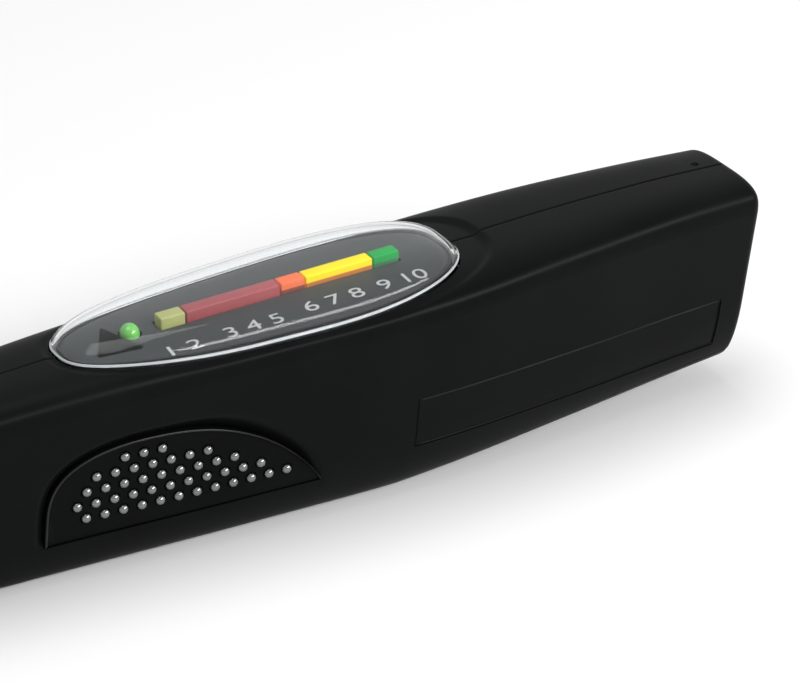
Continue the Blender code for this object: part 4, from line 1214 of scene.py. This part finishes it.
def probeWire(name, points, radius, slotName, node):
    # a round wire along the given points, with a mesh of its own; its rear end is the fixed one
    path = fresh(name, bpy.ops.curve.primitive_nurbs_path_add, location=(0, 0, 0)).data
    path.splines.clear()
    line = path.splines.new("POLY")
    line.points.add(len(points) - 1)
    for place, point in zip(line.points, points):
        place.co = (*point, 1)
    path.bevel_depth = radius
    path.bevel_resolution = 4
    path.use_fill_caps = True
    pick(bpy.context.object)
    bpy.ops.object.convert(target="MESH")
    piece = named(name)
    tidyMesh(piece)
    finishPiece(piece, slotName, node, angle=60)
    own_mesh(piece)


def returnSpring():
    low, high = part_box("probe_spring")
    radius = (high[1] - low[1]) / 2 - spring["wire"]
    start, end = high[0] - spring["wire"], low[0] + spring["wire"]
    count = spring["turns"] * spring["pointsPerTurn"]
    points = []
    for i in range(count + 1):
        a = 2 * pi * i / spring["pointsPerTurn"]
        points.append((start + (end - start) * i / count, radius * cos(a),
                       probeHeight + radius * sin(a)))
    probeWire("returnSpring", points, spring["wire"], "steel", "probe_spring")


def probeLeads():
    # straight back through the spring, then up to the main board
    radius, steps = lead["radius"], lead["steps"]
    for number in (1, 2):
        node = "probe_lead_%d" % number
        low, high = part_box(node)
        middle, rear = (low[1] + high[1]) / 2, high[0] - radius
        bend = high[2] - radius - probeHeight
        points = [(low[0], middle, probeHeight)]
        points += [(rear - bend * (1 - sin(a)), middle, probeHeight + bend * (1 - cos(a)))
                   for a in quarter(steps)]
        points.append((rear, middle, high[2]))
        probeWire("probeWire%d" % number, points, radius, "lead_white", node)


probePieces()
returnSpring()
probeLeads()
print("probe and cap built")


floor = dict(size=6, height=-0.0002, colour=(0.93, 0.93, 0.93, 1), gloss=0.1, grain=900,
             rough=(0.8, 0.9))
skyLight = 0.35


def plainFloor():
    piece = fresh("floor", bpy.ops.mesh.primitive_plane_add, size=floor["size"],
                  location=(0, 0, floor["height"]))
    material, tree, coords, shader = newMaterial("paleFloor")
    paper = noiseOf(tree, coords, floor["grain"])
    setSockets(tree, shader, Base_Color=floor["colour"], Specular_IOR_Level=floor["gloss"],
               Roughness=rangeOf(tree, paper, *worn["blotch"], *floor["rough"]))
    piece.data.materials.append(material)


def whiteWorld():
    # soft light on the object, plain white to the camera and in gloss and glass
    world = bpy.data.worlds.new("studio")
    scene.world = world
    world.use_nodes = True
    tree = world.node_tree
    soft = tree.nodes["Background"]
    setSockets(tree, soft, Color=(1, 1, 1, 1), Strength=skyLight)
    white = newNode(tree, "Background")
    rays = newNode(tree, "LightPath")
    seen = rays.outputs["Is Camera Ray"]
    for kind in ("Is Glossy Ray", "Is Transmission Ray"):
        seen = mathOf(tree, "MAXIMUM", seen, rays.outputs[kind]).outputs["Value"]
    blend = newNode(tree, "MixShader", Fac=seen)
    tree.links.new(soft.outputs["Background"], blend.inputs[1])
    tree.links.new(white.outputs["Background"], blend.inputs[2])
    setSockets(tree, tree.nodes["World Output"], Surface=blend.outputs["Shader"])


lamps = (        # name, place, length, width, watts
    ("shoulder", (0.45, -0.72, 0.50), 0.9, 0.17, 9.0),
    ("overhead", (-0.10, 0.10, 1.00), 0.8, 0.5, 4.5),
)
lampsAim = Vector((0.03, 0, 0.02))


def studioLamps():
    for name, place, length, width, watts in lamps:
        lamp = fresh(name, bpy.ops.object.light_add, type="AREA", location=place)
        lamp.data.shape = "RECTANGLE"
        lamp.data.size = length
        lamp.data.size_y = width
        lamp.data.energy = watts
        aim = Vector(place) - lampsAim
        lamp.rotation_euler = aim.to_track_quat("Z", "Y").to_euler()


plainFloor()
whiteWorld()
studioLamps()
scene.view_settings.view_transform = "Standard"
print("stage set")
